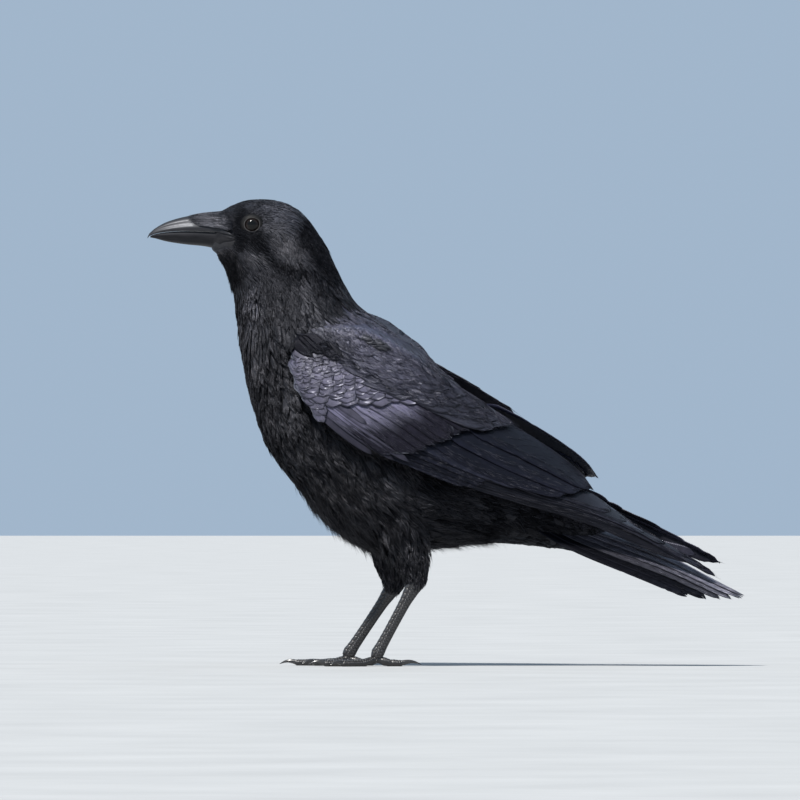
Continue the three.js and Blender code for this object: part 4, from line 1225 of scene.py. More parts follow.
def ear_coverts():
    """A fan of fine hair-like feathers that starts behind the eye and ends on one curved edge."""
    middle, size, turned = np.array([-73.5, 269.0]), np.array([16.5, 11.0]), math.radians(-33)
    c, k = math.cos(turned), math.sin(turned)

    def oval(p):
        dx, dz = p[:, 0] - middle[0], p[:, 2] - middle[1]
        return (dx * c + dz * k) / size[0], (dz * c - dx * k) / size[1]

    x, z = oval(HIDE)
    gap = np.full(len(HIDE), 0.8)
    wanted = (x * x + z * z < 0.9) & (x < 0.72) & (TAG == 0) & (np.abs(HIDE[:, 1]) > 6)
    face, start = scatter(gap, wanted)
    x, z = oval(start)
    edge = (np.sqrt(np.maximum(1 - z * z, 0.05)) - x) * size[0]
    length = np.clip(edge, 2.5, 12.0)
    turn = (0.28 + 0.22 * z) * np.sign(start[:, 1])
    flat = np.ones(len(start))
    vanes = body_vanes(face, start, length, 0.95 * flat, mix(1.7, 2.7, smooth(x, -1, 0.6)), 5, 3,
                       "hair", 0.1 * flat,
                       fray=0.05, wander=0.07, roll=0.15, lift=(0.35, 1.0), turned=turn, even=0.06,
                       mottle=1.6)
    new_coat("ear_coverts", [vanes], FEATHER_PAINT)


ear_coverts()


# ---------------------------------------------------------------- wings
def along_line(line, x):
    """The height of a line of (a, b) points at a = x."""
    line = np.array(line, float)
    return np.interp(x, line[:, 0], line[:, 1])


def tips_on(line, count):
    """Evenly spaced points along a line of (a, b) points, with the line's own direction."""
    line = np.array(line, float)
    run = np.concatenate([[0], np.cumsum(np.linalg.norm(np.diff(line, axis=0), axis=1))])
    at = np.linspace(0, run[-1], count)
    return np.stack([np.interp(at, run, line[:, 0]), np.interp(at, run, line[:, 1])], -1)


SCAPULAR_LINE = [(-2, 1.5), (1, 3.4), (17.7, 13.3), (33.4, 10.5), (56, 7.8), (76, 10.8),
                 (96, 13.8), (127.6, 14.6)]
MEDIAN_LINE = [(31, -19), (36.5, -14.5), (43.6, -12.9), (54, -6.3), (66, 0.8), (75, 7.3),
               (84, 11.5), (95, 16)]
GREATER_LINE = [(82, -29), (88, -25.7), (96, -20.8), (102.5, -11.8), (112, -3.3), (120, 7.3), (127.6, 14.6)]
CAPE_LINE = [(-2.5, 1.0), (-0.8, 6.1), (3, 14.5), (8.4, 21.6), (14, 26), (21.5, 28.2), (30, 28.6),
             (39, 27.7), (50, 26)]


def under_crown(grid):
    """Places on the wing, bent down where they would pass its upper outline."""
    most = np.interp(grid[..., 0], CROWN_A, CROWN_B)
    over = (most - grid[..., 1]) / 0.5
    kept = most - 0.5 * np.where(over > 20, over, np.log1p(np.exp(np.minimum(over, 20))))
    return np.stack([grid[..., 0], kept], -1)


def bowed(root, tip, bow, stops):
    """Centre lines (feather, row, 2) from roots to tips, bowed sideways."""
    root, tip = np.array(root, float), np.array(tip, float)
    run = tip - root
    cross = np.stack([-run[:, 1], run[:, 0]], -1) / np.linalg.norm(run, axis=1)[:, None]
    t = np.asarray(stops)
    bend = np.broadcast_to(bow, (len(root),))[:, None] * np.sin(math.pi * t)
    return root[:, None] + run[:, None] * t[None, :, None] + cross[:, None] * bend[..., None]


def wing_grid(centre, low_half, high_half, stops, x, round_low, round_high, notch=0.0, fray=0.0,
              crowned=True):
    """(a, b) of vanes laid on the wing; arrays over feathers, then rows, then columns."""
    count = len(centre)
    low_half, high_half, round_low, round_high = (
        np.broadcast_to(v, (count,)).astype(float)
        for v in (low_half, high_half, round_low, round_high))
    length = np.linalg.norm(np.diff(centre, axis=1), axis=-1).sum(1)
    t = np.asarray(stops)
    lean = unit(np.gradient(centre, axis=1))
    across = np.stack([-lean[..., 1], lean[..., 0]], -1)
    fades = []
    for reach in (round_low, round_high):
        first = 1 - reach[:, None] / length[:, None]
        fade = np.clip((t[None] - first) / (1 - first), 0, 1)
        fades.append(np.minimum(1, 0.45 + t / 0.35)[None]
                     * np.sqrt(np.maximum(1 - fade ** 3.0, 0.02)))
    half = np.where(x < 0, (low_half[:, None] * fades[0])[..., None],
                    (high_half[:, None] * fades[1])[..., None])
    half = half * np.abs(x)
    bite = (1 - notch * (rng.random((count, len(t), 2)) < 0.1)
            * rng.uniform(0.3, 1, (count, len(t), 2)))
    half = half * np.where(np.abs(x) > 0.9, np.where(x < 0, bite[..., :1], bite[..., 1:]), 1)
    slide = rng.normal(0, 1, (count, 1, len(x))) * fray * smooth(t, 0.7, 1)[None, :, None]
    spread = np.sign(x) * half
    grid = (centre[:, :, None] + across[:, :, None] * spread[..., None]
            + lean[:, :, None] * slide[..., None])
    return under_crown(grid) if crowned else grid, spread, length


def onto_body(points, place, above):
    """Points outside the wing's outline drawn down to the coat of the body, so far above its skin."""
    above = np.broadcast_to(above, points.shape[:-1]).reshape(-1)
    flat, place = points.reshape(-1, 3).copy(), place.reshape(-1, 2)
    high = np.interp(place[:, 0], CROWN_A, CROWN_B)
    share = smooth(np.maximum(place[:, 1] - high, WING_A[0] - place[:, 0]), -2, 9)
    for i in np.nonzero(share > 0)[0]:
        near, normal, _, _ = HIDE_TREE.find_nearest(flat[i])
        flat[i] = mix(flat[i], np.array(near + normal * above[i]), share[i])
    return flat.reshape(points.shape)


def wing_vanes(side, root, tip, lift, tilt, width, rows, columns, round_, fray, pleat, tint, tone,
               settled=False):
    """Small closed vanes on the wing. lift is (at the root, at the tip), tilt lowers the upper edge,
    tone is (mean, spread). Settled ones leave the wing at its outline and lie on the body's coat."""
    count = len(root)
    stops = np.array(STOPS[rows])
    x = np.linspace(-1, 1, columns)
    half = np.asarray(width) / 2
    grid, spread, length = wing_grid(bowed(root, tip, 0, stops), half, half, stops, x, round_,
                                     round_, fray=fray, crowned=not settled)
    base, end = (np.broadcast_to(v, (count,))[:, None] for v in lift)
    aside = 2 * spread / np.broadcast_to(width, (count,))[:, None, None]
    rise = mix(base, end, stops[None] ** 0.8)[..., None] - tilt * (aside + 1) / 2
    rise = rise + pleat * rng.uniform(-1, 1, (count, 1, columns)) * (np.abs(x) < 0.99)
    points = wing_point(side, grid[..., 0], grid[..., 1], rise)
    if settled:
        points = onto_body(points, grid, mix(2.4, 4.6, stops ** 0.7)[:, None])
    more_tone, more_tint = marks_and_painted_light(points[:, rows // 2, columns // 2])
    shade = np.clip(rng.normal(tone[0], tone[1], count) + more_tone, 0, 1)
    tint = np.clip(tint + more_tint, 0, 1)
    spots = wing_spot(side, np.array(root, float))
    return tract(points, shade, np.broadcast_to(tint, (count,)).astype(float), spots,
                 np.abs(spread).max(-1) * 2, length, stops, up=side)


def wing_spot(side, place):
    """Where a root on the wing lies on the bake map."""
    start = 0.02 if side < 0 else 0.52
    return np.stack([start + 0.44 * np.clip(place[:, 0] / 300, 0, 1),
                     0.3 + 0.3 * place[:, 1] / 40], -1)


# Columns of a flight feather from its outer edge, -1, to its inner one, close together at the
# shaft.
RACHIS = np.array([-1, -0.75, -0.5, -0.39, SHAFT_AT, -0.27, -0.1, 0.2, 0.5, 0.78, 1])


def flight_plates(side, centre, stops, lift, tilt, low_half, high_half, round_low=14.0,
                  round_high=None, notch=0.15, thick=0.32, point=wing_point, shaft=0.3, fray=0.35):
    """Closed flight feathers with a raised shaft: points (feather, 2 sides, row, column, 3)."""
    count, rows = centre.shape[:2]
    grid, spread, length = wing_grid(centre, low_half, high_half, stops, RACHIS, round_low,
                                     round_low if round_high is None else round_high, notch, fray)
    base, end = (np.broadcast_to(v, (count,))[:, None, None] for v in lift)
    rise = mix(base, end, stops[None, :, None])
    rise = rise - np.broadcast_to(tilt, (count,))[:, None, None] * (RACHIS + 1) / 2
    ridge = shaft * np.exp(-((RACHIS - SHAFT_AT) / 0.05) ** 2) * (1 - 0.8 * stops[None, :, None])
    slow = through(rng.normal(0, 1, (5, count)), 4 * stops).T[..., None]
    wave = 0.14 * slow * (np.abs(RACHIS) > 0.7)
    upper = point(side, grid[..., 0], grid[..., 1], rise + ridge + wave)
    under = point(side, grid[..., 0], grid[..., 1], rise - thick + wave)
    return dict(points=np.stack([upper, under], 1), spread=spread, length=length, stops=stops,
                place=grid[:, rows // 2, 4], up=side)


def barbs_on(plates, each, tone, tint, run=(0.06, 0.16), fall=0.0):
    """Barbs that stand out as fine ridges on flight feathers, and the frayed ends."""
    count = len(plates["length"])
    of = dict(tone=np.clip(rng.normal(tone, 0.08, count), 0, 1), tint=np.full(count, float(tint)))
    vanes = dict(grid=plates["points"][:, 0], stops=plates["stops"], length=plates["length"],
                 up=plates["up"], spot=wing_spot(plates["up"], plates["place"]), of=of, fall=fall)
    return [needles(vanes, each, (0.2, 0.93), width=0.26, rise=0.01, spread=0, tone=0.07,
                    brighter=-0.06, run=run, splay=0.35),
            needles(vanes, each // 5, (0.9, 0.97), (0.99, 1.015), width=0.26, rise=0.03, tone=0.08,
                    brighter=0.0)]


def rows_of(rows):
    """Stops along a flight feather, a little closer together towards the tip."""
    return np.linspace(0, 1, rows) ** 0.85


def flight_part(plates, tint, tone, fall, lanes):
    """Flight plates as new_coat takes them. Each feather has a strip of the bake map, and lanes are
    (the first one's strip, the number of strips)."""
    count, _, rows, columns = plates["points"].shape[:4]
    shape = (count, 2, rows, columns)
    stops = plates["stops"][:, None]
    quads, shaded = sheet_faces(count, rows, columns)
    lane = ((lanes[0] + np.arange(count))[:, None, None, None] + 0.25
            + 0.44 * np.arange(2)[:, None, None])
    lane = lane + 0.2 * RACHIS
    shade = np.clip(rng.normal(tone, FLIGHT_MOTTLE, count), 0, 1)[:, None, None, None]
    fall = np.broadcast_to(fall, (count,))[:, None, None, None]
    part = dict(points=plates["points"].reshape(-1, 3), quads=quads, tris=np.zeros((0, 3), int),
                shaded=shaded)
    for key, pair in (("vane", (plates["spread"][:, None],
                                plates["length"][:, None, None, None] * stops)),
                      ("patch", (0.01 + 0.98 * stops, lane / lanes[1]))):
        part[key] = np.stack([np.broadcast_to(value, shape) for value in pair], -1).reshape(-1, 2)
    for key, value in (("tone", np.clip(shade - fall * smooth(stops, *FALL), 0, 1)), ("tint", tint),
                       ("along", stops ** 3),
                       ("rim", np.maximum(np.abs(RACHIS) ** 5, stops ** 14))):
        part[key] = np.broadcast_to(value, shape).reshape(-1)
    return part


def new_flight(name, groups, paint):
    """One object of several groups of flight feathers. A group is its plates, their tint, their mean
    tone and how far it falls towards the tips."""
    parts, done = [], 0
    total = sum(len(group[0]["points"]) for group in groups)
    for plates, tint, tone, fall in groups:
        parts.append(flight_part(plates, tint, tone, fall, (done, total)))
        done += len(plates["points"])
    return new_coat(name, parts, paint)


def lesser_coverts(side):
    """Small soft feathers in rows behind the wrist, larger towards the median coverts."""
    roots, tips, widths = [], [], []
    line = np.array(MEDIAN_LINE)
    back = np.array([-0.80, 0.60])  # from one row to the row in front of it
    for row in range(1, 15):
        size = mix(1.0, 0.6, min(1, row / 10))
        step = 4.6 * row * mix(1.0, 0.8, row / 14)
        count = round(9 / size)
        for tip in tips_on(line + back * step * [1, 0.35], count):
            tip = tip + rng.normal(0, 0.7, 2) + (0.5 * (row % 2)) * (line[-1] - line[0]) / count
            low, high = wing_value(WING_LOW, tip[0]), wing_value(WING_HIGH, tip[0])
            high = min(high, along_line(SCAPULAR_LINE, tip[0]) + 4)
            if tip[0] < 1 or tip[1] < low + 1.5 or tip[1] > high:
                continue
            turn = -0.30 + 0.25 * smooth(tip[1], -15, 10) + rng.normal(0, 0.04)
            heading = np.array([math.cos(turn), math.sin(turn)])
            for share in (1, 0.85, 0.7, 0.55, 0.4, 0.3):  # as long as its root lies on the wing
                root = tip - 18 * size * share * heading
                if root[0] > -2.5 and root[1] > wing_value(WING_LOW, root[0]) + 1:
                    break
            roots.append(root)
            tips.append(tip)
            widths.append(14 * size * rng.uniform(0.95, 1.05))
    return wing_vanes(side, roots, tips, (1.9, 2.55), 0.22, widths, 7, 9, round_=9, fray=0.5,
                      pleat=0, tint=0.9, tone=(0.68, 0.05))


def edge_coverts(side):
    """Small feathers between the lesser coverts and the wing's lower border."""
    roots, tips = [], []
    for row in range(4):
        for a in np.arange(5 + 1.9 * (row % 2), 37 - 2.5 * row, 3.8):
            tip = np.array([a, wing_value(WING_LOW, a) + 0.8 + 3.0 * row]) + rng.normal(0, 0.35, 2)
            turn = -0.62 + 0.12 * row + rng.normal(0, 0.06)
            roots.append(tip - 10 * np.array([math.cos(turn), math.sin(turn)])
                         * min(1, (a + 4) / 12))
            tips.append(tip)
    return wing_vanes(side, roots, tips, (1.85, 2.4), 0.22, 7.0, 6, 7, round_=6, fray=0.4, pleat=0,
                      tint=0.85, tone=(0.62, 0.05))


def median_coverts(side):
    """Two rows of broad feathers over the roots of the greater coverts."""
    count = 8
    groups = []
    for row, (shift, size) in enumerate((((0, 0), 1.0), ((-6.5, 4.0), 0.85))):
        tips = tips_on(MEDIAN_LINE, count) + rng.normal(0, 0.5, (count, 2)) + shift
        tips = tips + (0.5 * (row % 2)) * (np.array(MEDIAN_LINE[-1]) - MEDIAN_LINE[0]) / count
        turn = mix(-0.32, -0.02, np.linspace(0, 1, count)) + rng.normal(0, 0.04, count)
        roots = tips - 26 * size * np.stack([np.cos(turn), np.sin(turn)], -1)
        groups.append(wing_vanes(side, roots, tips, (1.2, 2.35 + 0.15 * row), 0.4, 17 * size, 7, 11,
                                 round_=10 * size, fray=0.4, pleat=0.01, tint=0.9,
                                 tone=(0.72, 0.07)))
    return groups


def greater_coverts(side):
    """The row of long coverts over the secondaries."""
    count, stops = 12, rows_of(26)
    tips = tips_on(GREATER_LINE, count) + rng.normal(0, 0.5, (count, 2))
    share = np.linspace(0, 1, count)
    turn = mix(-0.12, -0.10, share)
    length = mix(62, 56, share)
    roots = tips - length[:, None] * np.stack([np.cos(turn), np.sin(turn)], -1)
    return flight_plates(side, bowed(roots, tips, 1.2, stops), stops, (0.9, mix(1.3, 1.9, share)),
                         mix(0.5, 0.12, share), 4.4, 7.5, round_low=10, thick=0.2, shaft=0.08,
                         fray=0.8)


def alula(side):
    """Alula and primary coverts: the long stripes along the lower border, lit by a painted highlight in
    their tones.
    """
    roots = [(2, -3.0), (4, -6), (6, -9), (8, -11.5), (10, -14), (13, -17.5), (16, -21)]
    tips = [(44, -14.5), (60, -18.8), (76, -22.2), (88, -25.0), (95, -27.8), (86, -31.2), (72, -34.2)]
    stops = rows_of(20)
    return flight_plates(side, bowed(roots, tips, -2.2, stops), stops,
                         (1.4, np.linspace(1.7, 0.8, 7)), 0.45, 2.0, 3.4,
                         round_low=24, round_high=30, thick=0.3, shaft=0.2)


# The alula's tones: the brightest feathers in the middle carry a painted bluish-white highlight, which the
# fall below darkens towards their tips.
ALULA_TONES_AND_HIGHLIGHT = np.array([0.58, 0.55, 0.66, 1.0, 0.95, 0.45, 0.25])
ALULA_FALL = np.array([0.0, 0.1, 0.2, 0.5, 0.6, 0.3, 0.1])


def secondaries(side):
    """The inner flight feathers and the tertials, from the lower edge up."""
    edges = [((70, -32.8), (134, -26.2), 0), ((74, -30.8), (141, -23.6), 0),
             ((76, -28), (143.5, -20.6), 0), ((78, -24.5), (144.5, -17.4), 0),
             ((80, -21), (146, -14), 0), ((84, -16), (166, -9.5), -3),
             ((88, -10), (193.5, -1.2), -6.5), ((98, -3), (201, 4.4), -2.5),
             ((111, 5), (207.5, 10.0), 1)]
    low_half = np.array([3.5, 3.6, 3.8, 4.0, 4.2, 5.2, 6.0, 6.5, 6.5])
    high_half = np.array([6, 6, 6.5, 6.5, 7, 8, 9.5, 11, 12.5])
    start, tip = np.array([e[0] for e in edges], float), np.array([e[1] for e in edges], float)
    up = np.stack([np.zeros(len(edges)), low_half], -1)
    near_tip = np.stack([np.zeros(len(edges)), np.minimum(low_half, 2.4)], -1)
    level = np.array([-0.9, -0.75, -0.6, -0.45, -0.3, -0.15, 0.05, 0.3, 0.55])
    stops = rows_of(34)
    centre = bowed(start + up, tip + near_tip, [e[2] for e in edges], stops)
    return flight_plates(side, centre, stops, (level - 0.4, level), 0.9, low_half, high_half,
                         round_low=np.array([9, 9, 9, 9, 9, 12, 13, 14, 15]),
                         round_high=np.array([9, 9, 9, 9, 9, 16, 26, 44, 50]))


PRIMARY_TIPS = [(285, -4.4), (296, -3.6), (302, -2.2), (294, -1.2), (281, -0.4), (264, 0.5), (249, 1.3),
                (236, 2.2), (224, 3.2)]
OUTER_EDGE = [(112, -29), (150, -23), (180, -17.5), (200, -13.5), (223, -10.5), (240, -9.8),
              (260, -8.8), (275, -6.6),
              (285, -4.6)]  # the lower edge of the outermost one


def primaries(side):
    """Nine feathers whose lower edges step up from the wing's lower outline."""
    count, stops = len(PRIMARY_TIPS), rows_of(40)
    tip = np.array(PRIMARY_TIPS)
    low_half = np.array([2.0, 2.2, 2.4, 2.6, 2.8, 3.0, 3.2, 3.3, 3.3])
    a = mix(112, tip[:, :1], stops[None])
    outline = wing_value(WING_LOW, a)
    first = 1.9 * np.arange(count)[:, None]
    last = tip[:, 1:] - wing_value(WING_LOW, tip[:, :1])
    b = (outline + mix(first, last, smooth(a, 125, tip[:, :1]))
         + low_half[:, None] * (1 - 0.55 * stops ** 3))
    b[0] = along_line(OUTER_EDGE, a[0]) + low_half[0]
    if side > 0:  # the far wing hangs lower behind the near one
        b = b + np.interp(a, [150, 200, 240, 290, 303], [0, -6, -8.0, -4.4, -3.0])
        tip = tip - [5.0, 0.0]
    level = np.linspace(-2.9, -1.7, count)
    return flight_plates(side, np.stack([a, b], -1), stops, (level, level), 0.5, low_half,
                         np.array([4.8, 5.4, 5.8, 6.0, 6.2, 6.4, 6.6, 7, 7]), round_low=10,
                         round_high=14, notch=0.05)


def scapulars(side):
    """Soft feathers from the back over the wing's upper part; upper rows lie on the lower ones."""
    groups = []
    for row in range(9):
        a = np.arange(8 + 2.0 * row, 134 + 3 * row, mix(6.5, 8.5, row / 7)) + 3.2 * (row % 2)
        a = a + rng.normal(0, 1.2, len(a))
        b = (along_line(SCAPULAR_LINE, a) - 3.5 * (1 - smooth(a, 8, 40)) - 0.5 + 3.4 * row
             + rng.normal(0, 0.8, len(a)))
        keep = b < np.interp(a, CROWN_A, CROWN_B) - 1.5
        a, b = a[keep], b[keep]
        if len(a) == 0:
            continue
        size = mix(0.7, 1.15, np.clip(a / 110, 0, 1))
        turn = -0.34 + 0.27 * smooth(a, 10, 80) + rng.normal(0, 0.05, len(a))
        length = np.minimum(34 * size, a + 6)
        tips = np.stack([a, b], -1)
        roots = tips - length[:, None] * np.stack([np.cos(turn), np.sin(turn)], -1)
        high = 0.05 * row - 1.1 * smooth(a, 120, 142)
        shaded = 0.2 * np.exp(-((a - 4) / 18) ** 2)
        groups.append(wing_vanes(side, roots, tips, (2.0 + high, 2.75 + high), 0.25, 12.5 * size,
                                 7, 9, round_=15 * size, fray=1.4, pleat=0.01, tint=0.8,
                                 tone=(0.45 - 0.01 * row - shaded, 0.03)))
    return groups


def cape(side):
    """The lower edge of the mantle, which lies over the wing's shoulder and shades it."""
    groups = []
    line = np.array(CAPE_LINE, float)
    for row in range(4):
        count = 30
        tips = tips_on(line, count) + rng.normal(0, 0.4, (count, 2))
        share = np.linspace(0, 1, count)
        away = np.stack([-np.cos(share * 1.5), np.sin(share * 1.5)], -1)
        tips = tips + away * (3.2 * row + 0.5)
        turn = mix(-1.0, -0.12, smooth(share, 0, 0.55)) + rng.normal(0, 0.05, count)
        roots = tips - 14 * np.stack([np.cos(turn), np.sin(turn)], -1)
        keep = roots[:, 1] < np.interp(roots[:, 0], CROWN_A, CROWN_B) + 1.5
        roots, tips = roots[keep], tips[keep]
        groups.append(wing_vanes(side, roots, tips, (1.0, 3.9), 0.1, 4.6, 6, 5, round_=7, fray=1.2,
                                 pleat=0.02, tint=0.4, tone=(0.36, 0.04), settled=True))
    return groups


# Lighter lavender base and tips than the body's feathers, with high tones on the coverts: their sheen
# painted into the colour.
COVERT_PAINT = plumage_paint("wing_covert_feathers", (0.010, 0.0094, 0.012),
                             (0.0315, 0.0285, 0.0480), (0.048, 0.044, 0.063), 0.42, 0.12,
                             barb=0.9, bumped=0.12, gloss=0.45, edge=0.55)
# Its negative edge makes the rims lighter: a painted highlight along the feathers' edges.
FLIGHT_PAINT = plumage_paint("flight_feathers", (0.0050, 0.0046, 0.0054), (0.0040, 0.0047, 0.0105),
                             (0.009, 0.009, 0.014), 0.40, 0.03, barb=1.2, bumped=0.15, gloss=0.2,
                             edge=-1.4)
for label, side in (("left", -1), ("right", 1)):
    small = [lesser_coverts(side), edge_coverts(side), *median_coverts(side)]
    new_coat(f"{label}_wing_small_coverts",
             with_barbs(small, 9, (0.3, 0.8), (0.85, 1.1), width=0.2, rise=0.0, tone=0.07,
                        brighter=0.0), COVERT_PAINT)
    new_coat(f"{label}_scapulars",
             with_barbs(scapulars(side), 28, (0.2, 0.85), (0.8, 1.3), width=0.3, rise=0.04,
                        tone=0.09, brighter=0.09), SCAPULAR_PAINT)
    new_coat(f"{label}_mantle_edge",
             with_barbs(cape(side), 10, (0.1, 0.7), (0.7, 1.15), width=0.3, rise=0.05,
                        tone=0.07, brighter=0.06), FEATHER_PAINT)
    greater, bastard = greater_coverts(side), alula(side)
    inner, outer = secondaries(side), primaries(side)
    large = new_flight(f"{label}_wing_large_coverts",
                       [(greater, 0.9, 0.86, 1.0), (bastard, 1.0, ALULA_TONES_AND_HIGHLIGHT, ALULA_FALL)],
                       COVERT_PAINT)
    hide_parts(f"{label}_wing_coverts")
    new_coat(f"{label}_wing_covert_barbs", barbs_on(greater, 110, 0.78, 0.9, fall=0.95),
             COVERT_PAINT)
    flight = new_flight(f"{label}_wing_flight_feathers",
                        [(inner, 0.8, 0.45, 0.0), (outer, 0.3, 0.45, 0.0)], FLIGHT_PAINT)
    new_coat(f"{label}_wing_barbs",
             barbs_on(inner, 130, 0.5, 0.8) + barbs_on(outer, 70, 0.45, 0.3), FLIGHT_PAINT)
    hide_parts(f"{label}_wing_secondaries", f"{label}_wing_primaries")


# ---------------------------------------------------------------- tail
TAIL_STEPS = [0, 1.5, 5, 13, 22, 31]  # how much shorter each pair is than the middle one
# Tones of the tail's upper pairs, from the middle outwards: light at the top and darker down the near side,
# painted light and shade; the far side's stay light, painted light against the wings' shadow.
NEAR_TAIL_TONES = np.array([1.0, 0.95, 0.66, 0.35])
FAR_TAIL_TONES = np.array([1.0, 1.0, 1.0, 0.9])
TAIL_LEVELS = [0, -1.1, -2.1, -3.0, -3.8, -4.5]
# Lighter lilac base than the flight feathers: painted light on the tail's upper pairs.
TAIL_PAINT = plumage_paint("tail_feathers", (0.012, 0.0115, 0.0135), (0.038, 0.0365, 0.050),
                           (0.060, 0.057, 0.070),
                           0.42, 0.12, barb=0.9, bumped=0.12, gloss=0.45, edge=0.7)


def tail_feathers():
    """Twelve tail feathers fanned on an arch, the middle pair on top."""
    def point(side, s, q_mm, lift):
        return tail_point(s, q_mm / TAIL_TIP_SPREAD, lift)

    roots, tips, low_half, high_half, lift = [], [], [], [], []
    for side in (-1, 1):
        for pair in range(6):
            bare = side * (pair + 1) / 6 * TAIL_TIP_SPREAD  # its outer edge
            outer, inner = mix(3.4, 2.6, pair / 5), mix(7.0, 10.5, pair / 5)
            middle = bare - side * outer
            tip = TAIL_LENGTH - 1 - TAIL_STEPS[pair] + rng.normal(0, 0.7)
            roots.append((18, side * TAIL_TIP_SPREAD * mix(0.42, 1.0, pair / 5)))
            tips.append((tip, middle + rng.normal(0, 0.4)))
            low_half.append(outer if side < 0 else inner)
            high_half.append(inner if side < 0 else outer)
            lift.append(TAIL_LEVELS[pair] - (0.25 if side > 0 else 0))
    roots, tips = np.array(roots), np.array(tips)
    low_half, high_half, lift = np.array(low_half), np.array(high_half), np.array(lift)
    stops = rows_of(44)
    for name, pairs, tones, tint, paint in (
            ("tail", range(4), (NEAR_TAIL_TONES, FAR_TAIL_TONES), 0.8, TAIL_PAINT),
            # The two outer pairs in the dark flight paint at low tones: painted shade on the tail's lower
            # side.
            ("outer_tail", range(4, 6), (0.06, 0.35), 0.5, FLIGHT_PAINT)):
        groups = []
        for side, first, tone in ((-1, 0, tones[0]), (1, 6, tones[1])):
            chosen = [first + pair for pair in pairs]
            plates = flight_plates(side, bowed(roots[chosen], tips[chosen], 0, stops), stops,
                                   (lift[chosen], lift[chosen]), 0.0, low_half[chosen],
                                   high_half[chosen], round_low=16, notch=0.2, point=point,
                                   shaft=0.3, fray=1.4)
            groups.append((plates, tint, tone, 0.0))
        piece = new_flight(f"{name}_feathers", groups, paint)
        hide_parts("tail")
        barbs = [part for group in groups
                 for part in barbs_on(group[0], 110, group[2], tint, run=(0.04, 0.1))]
        new_coat(f"{name}_barbs", barbs, paint)


tail_feathers()


# ---------------------------------------------------------------- bill
# Behind the solid's stations the horn runs on to the corners of the mouth, flush with the face.
HORN_X = [-105.5, -108.5, -112.5, *BILL_X]
HORN_RIDGE = [275.5, 279.5, 284.5, 289.2, 289.2, *BILL_CULMEN[2:]]
HORN_MOUTH = [274.2, 275.3, 276.4, *BILL_MOUTH]
HORN_LOW = [272.4, 270.6, 269.6, 267.4, 268.8, *BILL_GONYS[2:]]
HORN_HALF = [16.2, 16.2, 13.9, 10.2, *BILL_HALF[1:]]
BRISTLE_RIDGE = [291.5, 291.0, 290.4, 289.7, 289.2, *BILL_CULMEN[2:]]  # what the bristles lie on


def horn_point(upper, place, turn, ridge=HORN_RIDGE):
    """A point of a mandible: place counts stations from the face, turn goes over it."""
    place, turn = np.broadcast_arrays(place, turn)
    mouth = through(HORN_MOUTH, place) + (0.05 if upper else -0.25)
    edge = through(ridge if upper else HORN_LOW, place)
    half = through(HORN_HALF, place) * (1 if upper else mix(1.0, 0.93, smooth(place, 1, 4)))
    if not upper:
        half = half - 0.55 * smooth(np.abs(turn), 1.25, 1.5) * smooth(half, 0.6, 5.0)
    lift = np.cos(turn) ** (0.86 if upper else 0.7)
    scale = smooth(half, 0.6, 5.0)
    groove = -0.42 * np.exp(-((np.abs(turn) - 1.08) / 0.16) ** 2) * (1 if upper else 0.5)
    roll = 0.50 * np.exp(-((np.abs(turn) - 1.40) / 0.13) ** 2)
    keel = (0.10 if upper else -0.10) * np.exp(-(turn / 0.22) ** 2)
    return np.stack([through(HORN_X, place), half * np.sin(turn)
                     + np.sign(turn) * (groove + roll) * scale,
                     mouth + (edge - mouth) * lift + keel * scale], -1)


def over_face(points, share, above):
    """Points moved out to lie just over the skin of the face, by a share of the way."""
    flat = points.reshape(-1, 3).copy()
    share = np.broadcast_to(share, points.shape[:-1]).reshape(-1)
    for i in np.nonzero(share > 0)[0]:
        x, y, z = flat[i]
        hit = HIDE_TREE.ray_cast((x, 0, z), (0, math.copysign(1, y), 0))[0]
        if hit is not None:
            flat[i, 1] = math.copysign(max(abs(y), mix(abs(y), abs(hit[1]) + above, share[i])), y)
    return flat.reshape(points.shape)


def horn_rings(upper):
    """Rings of one mandible from inside the face to its tip."""
    last = (len(HORN_X) - 1) * (1 if upper else 1 - (1 - LOWER_SHORTER) * 0.66)
    place = np.linspace(0, last, 100)[:, None]
    turn = np.linspace(-math.pi / 2, math.pi / 2, 31)[None]
    share = (1 - smooth(place, 2.7, 3.6)) * smooth(np.abs(turn), 0.45, 1.0)
    sheath = over_face(horn_point(upper, place, turn), share, 0.35)
    floor = np.linspace(1, -1, 11)[1:-1]  # the inner face, from one edge to the other
    rim = sheath[:, -1]
    inside = np.stack([np.repeat(rim[:, :1], len(floor), 1), rim[:, 1:2] * floor * 0.97,
                       np.repeat(rim[:, 2:] + (0.15 if upper else -0.15), len(floor), 1)], -1)
    ring = np.concatenate([sheath, inside], 1)
    back = ring[0] * [1, 0.8, 1] + [4.0, 0, 0]
    rings = [back, *ring]
    if upper:
        end = ring[-1].mean(0)
        hook = np.array([BILL_HOOK[0], 0, BILL_HOOK[1] + 0.4])
        for share, size in ((0.45, 0.8), (0.8, 0.5), (1.0, 0.2)):
            rings.append((ring[-1] - end) * size + mix(end, hook, share))
    return np.array(rings)


def bill():
    """Both mandibles, in horn."""
    for name, upper in (("upper_bill", True), ("lower_bill", False)):
        points, quads, ends = tube(horn_rings(upper))
        quads, ends = facing_out(points, [quads, ends])
        piece = new_object(f"{name}_horn", points, [quads, ends],
                           [BILL_PAINT if upper else LOWER_BILL_PAINT])
        piece.data.set_sharp_from_angle(angle=math.radians(50))
        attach(piece, "root")
        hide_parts(name)


bill()


